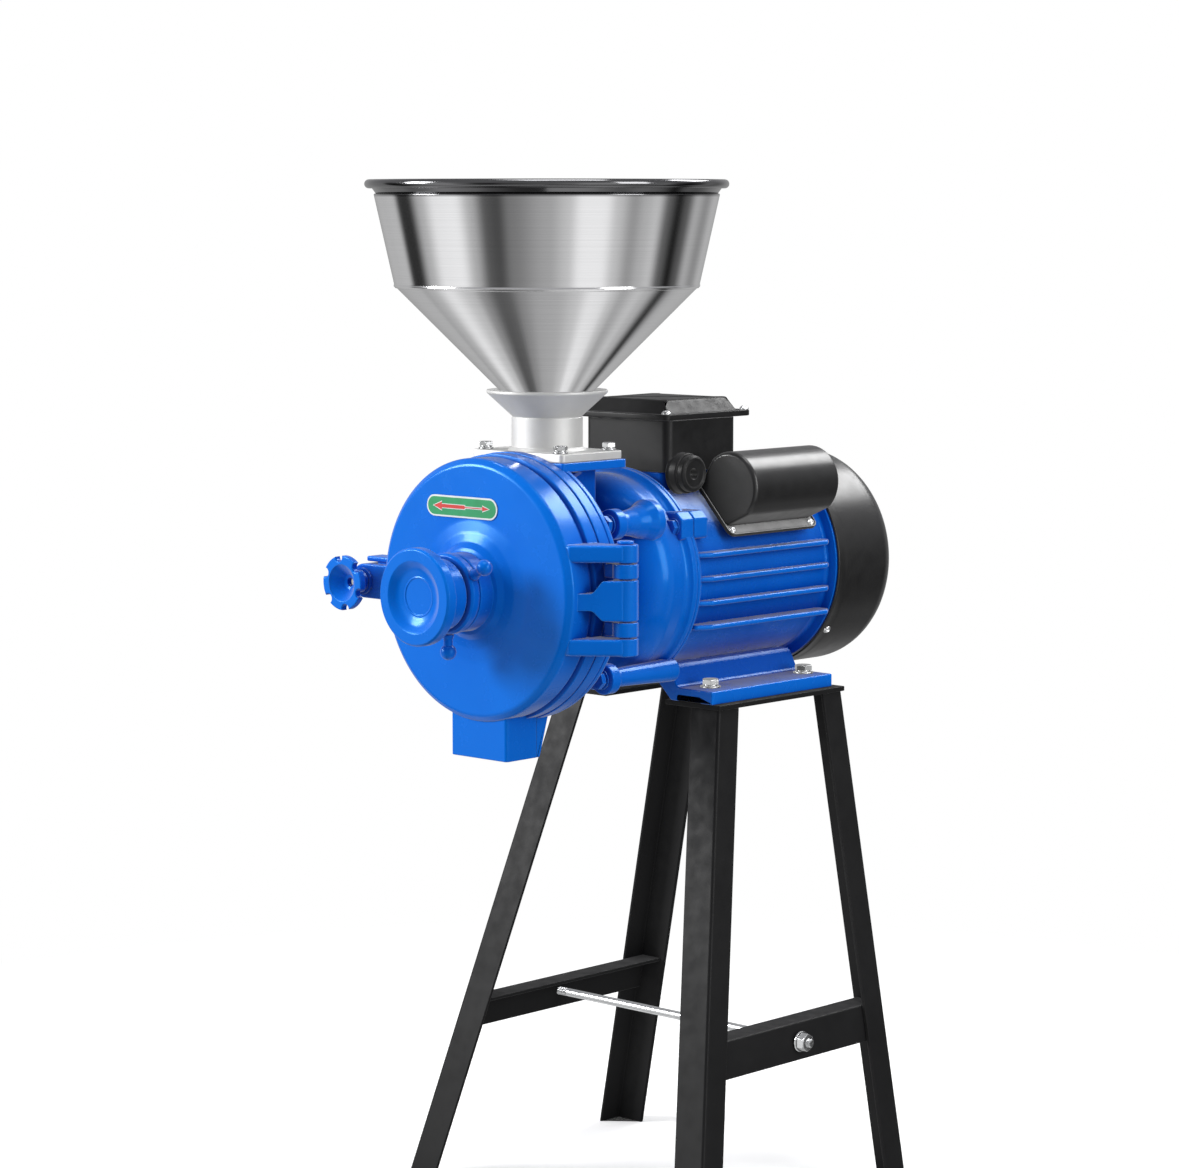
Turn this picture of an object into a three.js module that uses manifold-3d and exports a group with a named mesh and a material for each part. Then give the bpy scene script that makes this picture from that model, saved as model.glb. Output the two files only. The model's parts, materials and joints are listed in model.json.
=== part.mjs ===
// Electric disc grain mill on an angle-iron stand, millimetres, +Z up.
// The shaft runs along Y, the grinding door faces -Y, and the hinge is on the +X side.
// Row origin: on the floor, in the middle of the mill's length, under the shaft.
// The machine is drawn in its own group: y = 0 at the door's front face, z = 0 at the shaft axis.

import * as THREE from 'three';
import { mergeVertices } from 'three/addons/utils/BufferGeometryUtils.js';
import Module from 'manifold-3d';

// ---------- driving dimensions ----------

const GAP = 0.3;                     // clearance between neighbouring pieces
const SHAFT_HEIGHT = 520;            // shaft axis above the floor
const WIDE = 28;                     // facets of a casing-sized round surface
const ROUND = 20;                    // facets of a middle-sized one
const HIDDEN = 16;                   // facets of a round piece inside the machine
const SMALL_ROUND = 12;              // facets of a pin or hole
const SCREW = 8;                     // facets of a screw's shank or hole
const SIDES = [['right', 1], ['left', -1]];

const DOOR = {
  front: -5, rear: 33.7, rimR: 106, rimFront: 22.5, bandR: 104, grooveR: 101.5, grooveFront: 18.5,
  innerR: 88, wall: 6, bossR: 31, bossFront: -28, bossFoot: -14, swellR: 54, spindleBoreR: 8.3,
  stemBoreR: 16.3, stemBoreFront: -14,
};
const PARTING_Y = 34;                // door and casing meet here
const CASING = { rimR: 107, innerR: 92, rear: 55, chamberRear: 49 };
const THROAT = { halfX: 32, front: 55, rear: 103, screwR: 34, screwBoreR: 26.5, wall: 6 };
const SEAT = { halfX: 51.5, front: 42.8, rear: 118, thickness: 7, top: 99.7 };
const CHUTE = { halfX: 31, wall: 3.5, front: 0, rearTop: 50, rearBottom: 38, bottom: -134, top: -94 };
const HOPPER_Y = 79;                 // axis of the neck and hopper
const NECK = {
  flangeHalfX: 50, flangeHalfY: 35.5, flangeTop: 106.5, pipeR: 28.5, boreR: 25.5, coneBottom: 134,
  lipTop: 154.5, lipR: 49, lipInnerR: 39.4, boltX: 41, boltY: 28, boltHoleR: 3.3,
};
const HOPPER = {
  sheet: 1.2, rimR: 141, rollR: 3.6, rimZ: 317.5, wallTopR: 138.5, seamR: 121, seamZ: 237,
  coneOffset: 116, spoutR: 24.5, spoutBottom: 120,
};
const HINGE = {
  x: 125, y: 35, barrelR: 10, pinR: 5, pinHeadR: 6.5, pinHead: 2.5, top: 42, bottom: -44,
  doorKnuckles: [[28.2, 42], [-16.9, 14.6], [-44, -30.6]],
  doorArms: [[28.2, 42], [-8.5, 4.5], [-44, -30.6]],
  casingKnuckles: [[15.8, 27], [-29.4, -18.1]],
};
const LATCH = {
  x: -142, z: -4, lugR: 14, lugRootX: -96, lugFront: 10.3, receiverR: 6.6, receiverRear: 52,
  boltR: 5, boltHoleR: 5.6, boltRear: 48, washerR: 11, ribFront: 16, ribThickness: 3,
};
const STAR = {
  r: 22.6, front: -14, back: -8, hubRootR: 15, hubR: 9, hubBack: 7.7, dishR: 15.5, dishTipR: 3.6,
  dishDepth: 9, notches: 6, firstNotch: 40, notchR: 3.8, notchDistance: 21.6,
};
const WHEEL = {
  front: -71, rimBack: -60.5, rimR: 38.3, edge: 1.5, dishR: 27.9, dishFloorR: 15.5, dishFloor: -65,
  hubFrontR: 29.5, hubR: 28, hubBack: -40, floorThickness: 4.5,
};
const RING = {
  front: -38, back: -28.3, r: 31.8, boreForStub: 23, stubR: 3, stemR: 3.5, ballR: 6.3, ballDistance: 46,
  leverAngles: [-90, 30, 150],
};
const SPINDLE_R = 8;
const DISC = {
  r: 75, holeR: 22, fixedFront: 20.3, fixedBack: 30.8, movingFront: 32, movingBack: 41, movingHoleR: 40,
  hubR: 17, spokeWidth: 12, teeth: 12, groove: 3, nutR: 12.5, nutThickness: 6.5,
};
const CARRIER = { r: 72, plateFront: 12, plateBack: 20, stemR: 16, stemFront: -8 };
const SHAFT = { r: 10, front: 23, rear: 392 };
const FEED = {
  front: 52, rear: 94, coreR: 14, flightInnerR: 12.75, flightOuterR: 24.25, flight: 5, turns: 1.5,
};
const BELL = {
  front: 110, rear: 165, flangeFront: 157, flangeR: 88.5, sideR: 85, cornerR: 28, wall: 7, boreR: 11,
  housingR: 30, earX: [61, 81], earZ: [33, 55], earFront: 151,
};
// Casing-to-bell bolts on each side: an ear on the casing and a tapered pillar on the bell.
const EARS = [
  { x: 64, z: 50, r: 12.25, pillar: 38, pillarR: 9.5, rootR: 12.5 },
  { x: 57, z: -74, r: 10, pillar: 72, pillarR: 7.5, rootR: 9.5 },
];
const EAR = { front: 82, back: 92, halfHeight: 9, boltHoleR: 4.4 };
const FRAME = {
  front: 165.3, rear: 343, r: 80, boreR: 72.5, flangeR: 86, flangeRear: 169.3, rimR: 89, rimFront: 336,
  fins: [20, 0.5, -19, -38.5], finTipX: 88, finRootX: 50, finThickness: 3.6, finFront: 166, finRear: 335,
  finNose: 6,
};
const FOOT = {
  front: 182, rear: 336, bottom: -102.5, top: -91.8, outerX: 86, boltX: 66, boltY: [203, 322], recess: 4.2,
};
const BEARING = { r: 23.5, boreR: 10.3, frontY: [118.8, 132.8], rearR: 20, rearY: [334.3, 346.3] };
const STATOR = {
  innerR: 43, outerR: 71.5, front: 185, rear: 315,
  coilFront: 168, coilRear: 330, coilInnerR: 49, coilOuterR: 66,
};
const ROTOR = { r: 41.6, ringR: 38, front: 182, rear: 318, ring: 5 };
const FAN = {
  hubR: 16, r: 72, front: 358, plateFront: 362, plateRear: 364.5, hubRear: 384,
  bladeRear: 390, bladeThickness: 2.4, blades: 8,
};
const COVER = {
  front: 338, rear: 418, r: 91.5, wall: 1.5, cornerR: 20,
  slots: 16, slotWidth: 4.4, slotInnerR: 26, slotOuterR: 60,
};
const BOX = { halfX: 46, front: 172, rear: 258, bottom: 85, top: 127, wall: 3, padHalfX: 39, padBottom: 60 };
const LID = { halfX: 50, front: 166, rear: 272, plate: 5, height: 16, bevel: 9, margin: 4, rearMargin: 12 };
const GLAND = { y: 189, z: 84, bossR: 16.5, bossEnd: 54, r: 15, end: 61, boreR: 4.5 };
const CAPACITOR = {
  angle: 42, baseR: 84, flangeHalf: 32, flangeThickness: 2, domeR: 29, footR: 21, domeHeight: 25, wall: 2,
  front: 207, rear: 315, mouthHalf: 13, canR: 22, canMargin: 8,
};
const STRIP = { innerX: 33, outerX: 92, front: 184, rear: 346, thickness: 4, top: FOOT.bottom - GAP };
const LEG = {
  x: 90, frontY: 186, rearY: 344, wideFlange: 30, narrowFlange: 25, thickness: 3,
  splayX: 0.182, frontSplayY: 0.26,
};
const BAR = {
  top: -366, height: 30, flange: 22, thickness: 3, rodR: 3.5, rodY: 234, nutAcross: 13, nutThickness: 6.5,
  washer: 2, rodEnd: 5,
};
const ORIGIN_Y = (WHEEL.front + COVER.rear) / 2;

// ---------- solids ----------

const wasm = await Module();
wasm.setup();

// A closed three.js geometry as a solid; an inside-out one is turned the right way round.
function solid(geometry) {
  const bare = geometry.clone();
  for (const name of Object.keys(bare.attributes)) {
    if (name !== 'position') bare.deleteAttribute(name);
  }
  const merged = mergeVertices(bare, 1e-4);
  const corners = merged.index.array;
  const triangles = [];
  for (let i = 0; i < corners.length; i += 3) {
    const [a, b, c] = corners.slice(i, i + 3);
    if (a !== b && b !== c && c !== a) triangles.push(a, b, c);
  }
  const build = (list) => new wasm.Manifold(new wasm.Mesh({
    numProp: 3,
    vertProperties: Float32Array.from(merged.attributes.position.array),
    triVerts: Uint32Array.from(list),
  }));
  const made = build(triangles);
  return made.volume() > 0 ? made : build(triangles.reverse());
}

// A solid as a three.js geometry.
function geometryOf(shape) {
  const mesh = shape.getMesh();
  const geometry = new THREE.BufferGeometry();
  geometry.setAttribute('position', new THREE.BufferAttribute(mesh.vertProperties, 3));
  geometry.setIndex(new THREE.BufferAttribute(mesh.triVerts, 1));
  geometry.computeVertexNormals();
  return geometry;
}

const join = (first, ...rest) => rest.reduce((all, next) => all.add(next), first);
const cut = (first, ...rest) => rest.reduce((all, next) => all.subtract(next), first);

// A closed outline of [radius, y] points turned about the Y axis.
function turned(outline, facets = ROUND) {
  const points = [...outline, outline[0]].map(([r, y]) => new THREE.Vector2(r, y));
  return new THREE.LatheGeometry(points, facets);
}

// The same about the vertical axis through (x, y), from [radius, z] points.
function turnedUp(outline, facets = ROUND, x = 0, y = 0) {
  return turned(outline, facets).rotateX(Math.PI / 2).translate(x, y, 0);
}

// A round bar along Y between two y values.
function rodY(r, y0, y1, x = 0, z = 0, facets = SMALL_ROUND) {
  return new THREE.CylinderGeometry(r, r, y1 - y0, facets).translate(x, (y0 + y1) / 2, z);
}

// A round bar along Z between two z values.
function rodZ(r, z0, z1, x = 0, y = 0, facets = SMALL_ROUND) {
  return new THREE.CylinderGeometry(r, r, z1 - z0, facets).rotateX(Math.PI / 2).translate(x, y, (z0 + z1) / 2);
}

// A round bar along X between two x values.
function rodX(r, x0, x1, y, z, facets = SMALL_ROUND) {
  return new THREE.CylinderGeometry(r, r, x1 - x0, facets).rotateZ(Math.PI / 2).translate((x0 + x1) / 2, y, z);
}

const hexR = (across) => across / Math.sqrt(3);

// A box between two corners.
function block([x0, y0, z0], [x1, y1, z1]) {
  return new THREE.BoxGeometry(x1 - x0, y1 - y0, z1 - z0)
    .translate((x0 + x1) / 2, (y0 + y1) / 2, (z0 + z1) / 2);
}

// An outline of [x, z] points drawn out along Y.
function prismY(outline, y0, y1) {
  const shape = new THREE.Shape(outline.map(([x, z]) => new THREE.Vector2(x, z)));
  return new THREE.ExtrudeGeometry(shape, { depth: y1 - y0, bevelEnabled: false })
    .rotateX(Math.PI / 2).translate(0, y1, 0);
}

// An outline of [x, y] points drawn up along Z.
function prismZ(outline, z0, z1) {
  const shape = new THREE.Shape(outline.map(([x, y]) => new THREE.Vector2(x, y)));
  return new THREE.ExtrudeGeometry(shape, { depth: z1 - z0, bevelEnabled: false }).translate(0, 0, z0);
}

// An outline of [y, z] points drawn across the machine, as far to one side as to the other.
function prismX(outline, halfX) {
  const shape = new THREE.Shape(outline.map(([y, z]) => new THREE.Vector2(y, z)));
  return new THREE.ExtrudeGeometry(shape, { depth: 2 * halfX, bevelEnabled: false })
    .rotateX(Math.PI / 2).rotateZ(Math.PI / 2).translate(-halfX, 0, 0);
}

// Points on an arc in degrees, for outlines.
function arc(cx, cy, r, from, to, steps) {
  const points = [];
  for (let i = 0; i <= steps; i += 1) {
    const a = THREE.MathUtils.degToRad(from + ((to - from) * i) / steps);
    points.push([cx + r * Math.cos(a), cy + r * Math.sin(a)]);
  }
  return points;
}

const turnY = (geometry, degrees) => geometry.rotateY(THREE.MathUtils.degToRad(-degrees));

// ---------- finishes ----------

const finish = (color, roughness, metalness) => new THREE.MeshStandardMaterial({ color, roughness, metalness });
const BLUE = finish(0x0a5ae0, 0.3, 0.1);
const BLACK = finish(0x1c1c1e, 0.45, 0.1);
const BLACK_PLASTIC = finish(0x202022, 0.35, 0);
const STAINLESS = finish(0xc4c4c6, 0.22, 1);
const ALUMINIUM = finish(0xd8d8d6, 0.45, 0.8);
const ZINC = finish(0xb9bbbd, 0.35, 0.9);
const IRON = finish(0x6b6b6b, 0.6, 0.8);
const STEEL = finish(0x9a9ca0, 0.3, 0.95);
const COPPER = finish(0xa65c32, 0.4, 0.9);
const GREEN = finish(0x13a05a, 0.4, 0);

const machine = new THREE.Group();
machine.position.set(0, -ORIGIN_Y, SHAFT_HEIGHT);

function piece(name, shape, material) {
  const mesh = new THREE.Mesh(shape.isBufferGeometry ? shape : geometryOf(shape), material);
  mesh.name = name;
  machine.add(mesh);
}

// A hex-head screw pointing along -Z with its washer's underside at z = 0.
function hexScrew(shankR, length, across, head, washerR) {
  const washer = solid(rodZ(washerR, 0, 1.5, 0, 0, SCREW));
  const top = solid(rodZ(hexR(across), 1, 1 + head, 0, 0, 6));
  const shank = solid(rodZ(shankR, -length, 0.5, 0, 0, SCREW));
  return join(washer, top, shank);
}

// ---------- stand ----------

const stripBottom = STRIP.top - STRIP.thickness;
const legTop = stripBottom - GAP;
const splayX = (z) => LEG.splayX * (legTop - z);

function strip(side) {
  const xs = [STRIP.innerX * side, STRIP.outerX * side].sort((a, b) => a - b);
  return block([xs[0], STRIP.front, stripBottom], [xs[1], STRIP.rear, STRIP.top]);
}

// An angle-iron leg with its corner outward; `inward` is the y direction towards the other leg.
function leg(side, cornerY, inward, splayY) {
  const wide = -side * LEG.wideFlange;
  const narrow = inward * LEG.narrowFlange;
  const t = LEG.thickness;
  const outline = [
    [0, 0], [wide, 0], [wide, inward * t], [-side * t, inward * t], [-side * t, narrow], [0, narrow],
  ];
  const height = legTop + SHAFT_HEIGHT;
  const shear = new THREE.Matrix4().makeShear(0, 0, 0, 0, -side * LEG.splayX, splayY);
  return prismZ(outline, -height, 0).applyMatrix4(shear).translate(LEG.x * side, cornerY, legTop);
}

// The angle-iron bar between a front and a rear leg, lying on the inside of their side flanges.
function crossbar(side) {
  const z0 = BAR.top - BAR.height;
  const outer = (z) => side * (LEG.x + splayX(z) - LEG.thickness - GAP);
  const t = side * BAR.thickness;
  const outline = [
    [outer(BAR.top), BAR.top],
    [outer(BAR.top) - side * BAR.flange, BAR.top],
    [outer(BAR.top) - side * BAR.flange, BAR.top - BAR.thickness],
    [outer(BAR.top - BAR.thickness) - t, BAR.top - BAR.thickness],
    [outer(z0) - t, z0],
    [outer(z0), z0],
  ];
  const start = LEG.frontY - LEG.frontSplayY * (legTop - BAR.top) + LEG.thickness + GAP + 1;
  const end = LEG.rearY - LEG.thickness - GAP;
  const bars = solid(prismY(outline, start, end));
  return cut(bars, solid(rodX(BAR.rodR + GAP, -rodEndX, rodEndX, BAR.rodY, rodLevel)));
}

const rodLevel = BAR.top - BAR.height / 2;
const nutWasherR = BAR.nutAcross / 2 + BAR.washer;
const nutSeatX = LEG.x + splayX(rodLevel) - LEG.thickness + LEG.splayX * nutWasherR;
const rodEndX = nutSeatX + BAR.nutThickness + BAR.rodEnd;

// The nut and washer on one end of the tie rod, outside the crossbar.
function tieRodNut(side) {
  const along = (r, from, to, facets) => {
    const ends = [nutSeatX + from, nutSeatX + to].map((x) => side * x).sort((a, b) => a - b);
    return solid(rodX(r, ends[0], ends[1], BAR.rodY, rodLevel, facets));
  };
  const nut = along(hexR(BAR.nutAcross), BAR.washer / 2, BAR.washer / 2 + BAR.nutThickness, 6);
  return cut(
    join(along(nutWasherR, 0, BAR.washer, SMALL_ROUND), nut),
    along(BAR.rodR + GAP, -BAR.nutThickness, 2 * BAR.nutThickness, SMALL_ROUND),
  );
}

for (const [word, side] of SIDES) {
  piece(`top_strip_${word}`, strip(side), BLACK);
  piece(`leg_front_${word}`, leg(side, LEG.frontY, 1, LEG.frontSplayY), BLACK);
  piece(`leg_rear_${word}`, leg(side, LEG.rearY, -1, 0), BLACK);
  piece(`crossbar_${word}`, crossbar(side), BLACK);
  piece(`tie_rod_nut_${word}`, tieRodNut(side), ZINC);
}
piece('tie_rod', rodX(BAR.rodR, -rodEndX, rodEndX, BAR.rodY, rodLevel), ZINC);

// ---------- mill casing ----------

const earPoints = SIDES.flatMap(([, side]) => EARS.map((ear) => ({ ...ear, x: side * ear.x })));
const earHoles = (y0, y1) => earPoints.map(({ x, z }) => solid(rodY(EAR.boltHoleR, y0, y1, x, z, SCREW)));
const neckBolts = [-1, 1].flatMap((sx) => [-1, 1].map((sy) => [sx * NECK.boltX, HOPPER_Y + sy * NECK.boltY]));
const neckHoles = (z0, z1) => neckBolts.map(([x, y]) => solid(rodZ(NECK.boltHoleR, z0, z1, x, y, SCREW)));

// One half of the outlet chute, from y0 back to a sloping or upright rear face.
function chuteBlock(y0, rearTop, rearBottom) {
  return solid(prismX([
    [y0, CHUTE.top], [y0, CHUTE.bottom], [rearBottom, CHUTE.bottom], [rearTop, CHUTE.top],
  ], CHUTE.halfX));
}

// The hollow of the chute, from below its rim up into the grinding chamber.
function chuteHollow(y0, rearTop, rearBottom, up) {
  const below = CHUTE.bottom - 5;
  return solid(prismX([[y0, up], [y0, below], [rearBottom, below], [rearTop, up]], CHUTE.halfX - CHUTE.wall));
}

// A hinge knuckle between two heights, and its arm between two heights from a plan outline.
function knuckle([z0, z1], armOutline, [arm0, arm1]) {
  const barrel = solid(rodZ(HINGE.barrelR, z0, z1, HINGE.x, HINGE.y, ROUND));
  return join(barrel, solid(prismZ(armOutline, arm0, arm1)));
}

const casingArm = [
  [96, PARTING_Y + 1], [96, 52], [112, 50], [HINGE.x, HINGE.y + 9], [HINGE.x, 28], [109.5, 28],
  [109.5, PARTING_Y + 1],
];
const doorArm = [
  [88, -1], [98.5, -1], [HINGE.x + 4, HINGE.y - 9], [HINGE.x, HINGE.y + 6], [109, DOOR.rear], [88, DOOR.rear],
];
const pinHole = solid(rodZ(HINGE.pinR + GAP, HINGE.bottom - 10, HINGE.top + 10, HINGE.x, HINGE.y));

function latchLug(y0, y1) {
  const [low, high] = [LATCH.z - LATCH.lugR, LATCH.z + LATCH.lugR];
  const root = [[LATCH.lugRootX, low], [LATCH.x, low], [LATCH.x, high], [LATCH.lugRootX, high]];
  return join(solid(prismY(root, y0, y1)), solid(rodY(LATCH.lugR, y0, y1, LATCH.x, LATCH.z, ROUND)));
}

// The arms that reach from the throat to the bolt ears.
function earArms() {
  const [upper, lower] = EARS;
  const h = EAR.halfHeight;
  const upperArm = solid(block([-upper.x, EAR.front, upper.z - h], [upper.x, EAR.back, upper.z + h]));
  const lowerArm = solid(prismY([
    [-lower.x, lower.z - h], [lower.x, lower.z - h], [lower.x, lower.z + h], [20, -20], [-20, -20],
    [-lower.x, lower.z + h],
  ], EAR.front, EAR.back));
  return join(upperArm, lowerArm);
}

function casing() {
  const drum = solid(turned([
    [THROAT.screwBoreR, CASING.chamberRear], [CASING.innerR, CASING.chamberRear], [CASING.innerR, PARTING_Y],
    [CASING.rimR, PARTING_Y], [CASING.rimR, CASING.rear - 2], [CASING.rimR - 2, CASING.rear],
    [THROAT.screwBoreR, CASING.rear],
  ], WIDE));
  const box = solid(block(
    [-THROAT.halfX, THROAT.front - 1, 0], [THROAT.halfX, THROAT.rear, SEAT.top - SEAT.thickness + 1]));
  const barrel = solid(rodY(THROAT.screwR, THROAT.front - 1, THROAT.rear, 0, 0, ROUND));
  const seat = solid(block(
    [-SEAT.halfX, SEAT.front, SEAT.top - SEAT.thickness], [SEAT.halfX, SEAT.rear, SEAT.top]));
  const web = solid(block([-NECK.flangeHalfX, SEAT.front, 60], [NECK.flangeHalfX, CASING.rear, SEAT.top - 1]));
  const seatRelief = solid(block([-70, SEAT.front, SEAT.top], [70, CASING.rear + 1, SEAT.top + 20]));
  const ears = earPoints.map(({ x, z, r }) => solid(rodY(r, EAR.front, EAR.back, x, z, ROUND)));
  const lugs = HINGE.casingKnuckles.map((span) => knuckle(span, casingArm, span));
  const chute = chuteBlock(PARTING_Y, CHUTE.rearTop, CHUTE.rearBottom);
  const body = join(drum, box, barrel, seat, web, earArms(), ...ears, ...lugs, chute,
    latchLug(PARTING_Y, LATCH.receiverRear));

  const before = PARTING_Y - 5;
  const innerRear = THROAT.rear - THROAT.wall;
  const chamber = solid(rodY(CASING.innerR, before, CASING.chamberRear, 0, 0, WIDE));
  const screwBore = solid(rodY(THROAT.screwBoreR, before, innerRear, 0, 0, ROUND));
  const inlet = solid(block([-NECK.boreR, THROAT.front + 2, 0], [NECK.boreR, innerRear, SEAT.top + 5]));
  const shaftHole = solid(rodY(BEARING.boreR + 6, CASING.rear, THROAT.rear + 5, 0, 0, HIDDEN));
  const hollow = chuteHollow(before, CHUTE.rearTop - 6, CHUTE.rearBottom - CHUTE.wall, -85);
  const receiver = solid(rodY(LATCH.receiverR, before, LATCH.receiverRear + 5, LATCH.x, LATCH.z));
  return cut(body, seatRelief, chamber, screwBore, inlet, shaftHole, pinHole, receiver, hollow,
    ...earHoles(EAR.front - 5, EAR.back + 5), ...neckHoles(60, SEAT.top + 5));
}
piece('casing', casing(), BLUE);

// ---------- neck and hopper ----------

function neck() {
  const flange = solid(block(
    [-NECK.flangeHalfX, HOPPER_Y - NECK.flangeHalfY, SEAT.top + GAP],
    [NECK.flangeHalfX, HOPPER_Y + NECK.flangeHalfY, NECK.flangeTop]));
  const funnel = solid(turnedUp([
    [NECK.boreR, SEAT.top + 1], [NECK.pipeR, SEAT.top + 1], [NECK.pipeR, NECK.coneBottom],
    [NECK.lipR - 1, NECK.lipTop - 1.5], [NECK.lipR - 1, NECK.lipTop], [NECK.lipInnerR, NECK.lipTop],
    [NECK.boreR, NECK.lipTop - (NECK.lipInnerR - NECK.boreR)],
  ], ROUND, 0, HOPPER_Y));
  const bore = solid(rodZ(NECK.boreR, SEAT.top - 5, NECK.coneBottom, 0, HOPPER_Y, ROUND));
  return cut(join(flange, funnel), bore, ...neckHoles(SEAT.top - 5, NECK.flangeTop + 5));
}
piece('neck', neck(), ALUMINIUM);

// The funnel is one sheet: spout, cone, upper wall and a rolled rim.
function hopper() {
  const t = HOPPER.sheet;
  const coneBottomZ = HOPPER.spoutR + HOPPER.coneOffset;
  const slant = t * Math.SQRT2;
  const outer = [
    [HOPPER.spoutR, HOPPER.spoutBottom], [HOPPER.spoutR, coneBottomZ], [HOPPER.seamR, HOPPER.seamZ],
    [HOPPER.wallTopR, HOPPER.rimZ - 1],
  ];
  const roll = arc(HOPPER.rimR, HOPPER.rimZ, HOPPER.rollR, -110, 150, 5);
  const inner = [
    [HOPPER.wallTopR - t, HOPPER.rimZ + 0.5], [HOPPER.seamR - t, HOPPER.seamZ + 0.5],
    [HOPPER.spoutR - t, coneBottomZ + slant - t], [HOPPER.spoutR - t, HOPPER.spoutBottom],
  ];
  return solid(turnedUp([...outer, ...roll, ...inner], ROUND, 0, HOPPER_Y));
}
piece('hopper', hopper(), STAINLESS);

neckBolts.forEach(([x, y], i) => {
  piece(`flange_bolt_${i + 1}`, hexScrew(3, 14, 10, 4.5, 6).translate([x, y, NECK.flangeTop + GAP]), ZINC);
});
earPoints.forEach(({ x, z }, i) => {
  const bolt = hexScrew(4, 26, 13, 5.5, 8).rotate([90, 0, 0]);
  piece(`ear_bolt_${i + 1}`, bolt.translate([x, EAR.front - GAP, z]), BLUE);
});

// ---------- door ----------

function door() {
  const d = DOOR;
  const innerFace = d.front + d.wall;
  const shell = solid(turned([
    [d.spindleBoreR, d.bossFront], [d.bossR, d.bossFront], [d.bossR, d.bossFoot], [d.bossR + 3.5, -12.5],
    [d.bossR + 8, -9.5], [d.swellR - 8, -7], [d.swellR, d.front], [d.bandR - 6, d.front],
    [d.bandR - 2, d.front + 1.5], [d.bandR, d.front + 4.5], [d.bandR, d.grooveFront],
    [d.grooveR, d.grooveFront + 1], [d.grooveR, d.rimFront - 0.5], [d.rimR, d.rimFront], [d.rimR, d.rear],
    [d.innerR, d.rear], [d.innerR, innerFace], [d.stemBoreR, innerFace], [d.stemBoreR, d.stemBoreFront],
    [d.spindleBoreR, d.stemBoreFront],
  ], WIDE));
  const chute = chuteBlock(CHUTE.front, d.rear, d.rear);
  const arms = HINGE.doorKnuckles.map((span, i) => knuckle(span, doorArm, HINGE.doorArms[i]));
  const ribTop = LATCH.z + LATCH.lugR + 2 * LATCH.ribThickness;
  const rib = solid(block(
    [LATCH.x - 2, LATCH.ribFront, ribTop - LATCH.ribThickness], [LATCH.lugRootX, d.rear, ribTop]));
  const ribFoot = solid(block(
    [LATCH.x + 10, LATCH.ribFront, ribTop - 3 * LATCH.ribThickness], [LATCH.lugRootX, d.rear, ribTop - 1]));
  const past = d.rear + 5;
  const cavity = solid(turned([
    [0.01, innerFace], [d.innerR, innerFace], [d.innerR, past], [0.01, past]], WIDE));
  const hollow = chuteHollow(CHUTE.front + CHUTE.wall, past, past, -80);
  const boltHole = solid(rodY(LATCH.boltHoleR, 0, past, LATCH.x, LATCH.z));
  const pinRelief = solid(rodZ(HINGE.pinHeadR + 1, HINGE.top, HINGE.top + 10, HINGE.x, HINGE.y));
  return cut(join(shell, chute, ...arms, latchLug(LATCH.lugFront, d.rear), rib, ribFoot),
    cavity, hollow, boltHole, pinHole, pinRelief);
}
piece('door', door(), BLUE);

const pinTop = HINGE.top + GAP;
piece('hinge_pin', join(
  solid(rodZ(HINGE.pinR, HINGE.bottom - 1, pinTop + 1, HINGE.x, HINGE.y)),
  solid(rodZ(HINGE.pinHeadR, pinTop, pinTop + HINGE.pinHead, HINGE.x, HINGE.y)),
), BLUE);

// The label is a thin capsule-shaped plate on the upper half of the door.
function label() {
  const plate = { halfLength: 39, halfHeight: 8.5, x: -12, z: 65, thickness: 0.8 };
  const reach = plate.halfLength - plate.halfHeight;
  const right = arc(plate.x + reach, plate.z, plate.halfHeight, -90, 90, 8);
  const left = arc(plate.x - reach, plate.z, plate.halfHeight, 90, 270, 8);
  const back = DOOR.front - GAP;
  return prismY([...right, ...left], back - plate.thickness, back);
}
piece('label_plate', label(), GREEN);

// ---------- grinding discs and their adjuster ----------

function toothed(shape, faceY) {
  const cuts = [];
  for (let i = 0; i < DISC.teeth; i += 1) {
    const groove = new THREE.BoxGeometry(30, DISC.groove, DISC.groove).translate(DISC.r - 15, faceY, 0);
    cuts.push(solid(turnY(groove, (360 * i) / DISC.teeth)));
  }
  return cut(shape, ...cuts);
}

function disc(holeR, y0, y1) {
  return solid(turned([[holeR, y0], [DISC.r, y0], [DISC.r, y1], [holeR, y1]], ROUND));
}
piece('fixed_disc', toothed(disc(DISC.holeR, DISC.fixedFront, DISC.fixedBack), DISC.fixedBack), IRON);

// The running disc has a hub on three spokes, so that the grain can pass through it.
function movingDisc() {
  const d = DISC;
  const rim = disc(d.movingHoleR, d.movingFront, d.movingBack);
  const hub = solid(rodY(d.hubR, d.movingFront, d.movingBack, 0, 0, ROUND));
  const spoke = () => block(
    [SHAFT.r, d.movingFront + 2, -d.spokeWidth / 2], [d.movingHoleR + 5, d.movingBack, d.spokeWidth / 2]);
  const spokes = [90, 210, 330].map((angle) => solid(turnY(spoke(), angle)));
  const bore = solid(rodY(SHAFT.r + GAP, d.movingFront - 5, d.movingBack + 5, 0, 0, HIDDEN));
  return toothed(cut(join(rim, hub, ...spokes), bore), d.movingFront);
}
piece('moving_disc', movingDisc(), IRON);

piece('disc_carrier', solid(turned([
  [0, CARRIER.stemFront], [CARRIER.stemR, CARRIER.stemFront], [CARRIER.stemR, CARRIER.plateFront],
  [CARRIER.r, CARRIER.plateFront], [CARRIER.r, CARRIER.plateBack], [0, CARRIER.plateBack],
], ROUND)), IRON);

piece('adjusting_spindle', rodY(SPINDLE_R, WHEEL.dishFloor + 5, CARRIER.stemFront - GAP, 0, 0, HIDDEN), STEEL);

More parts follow.
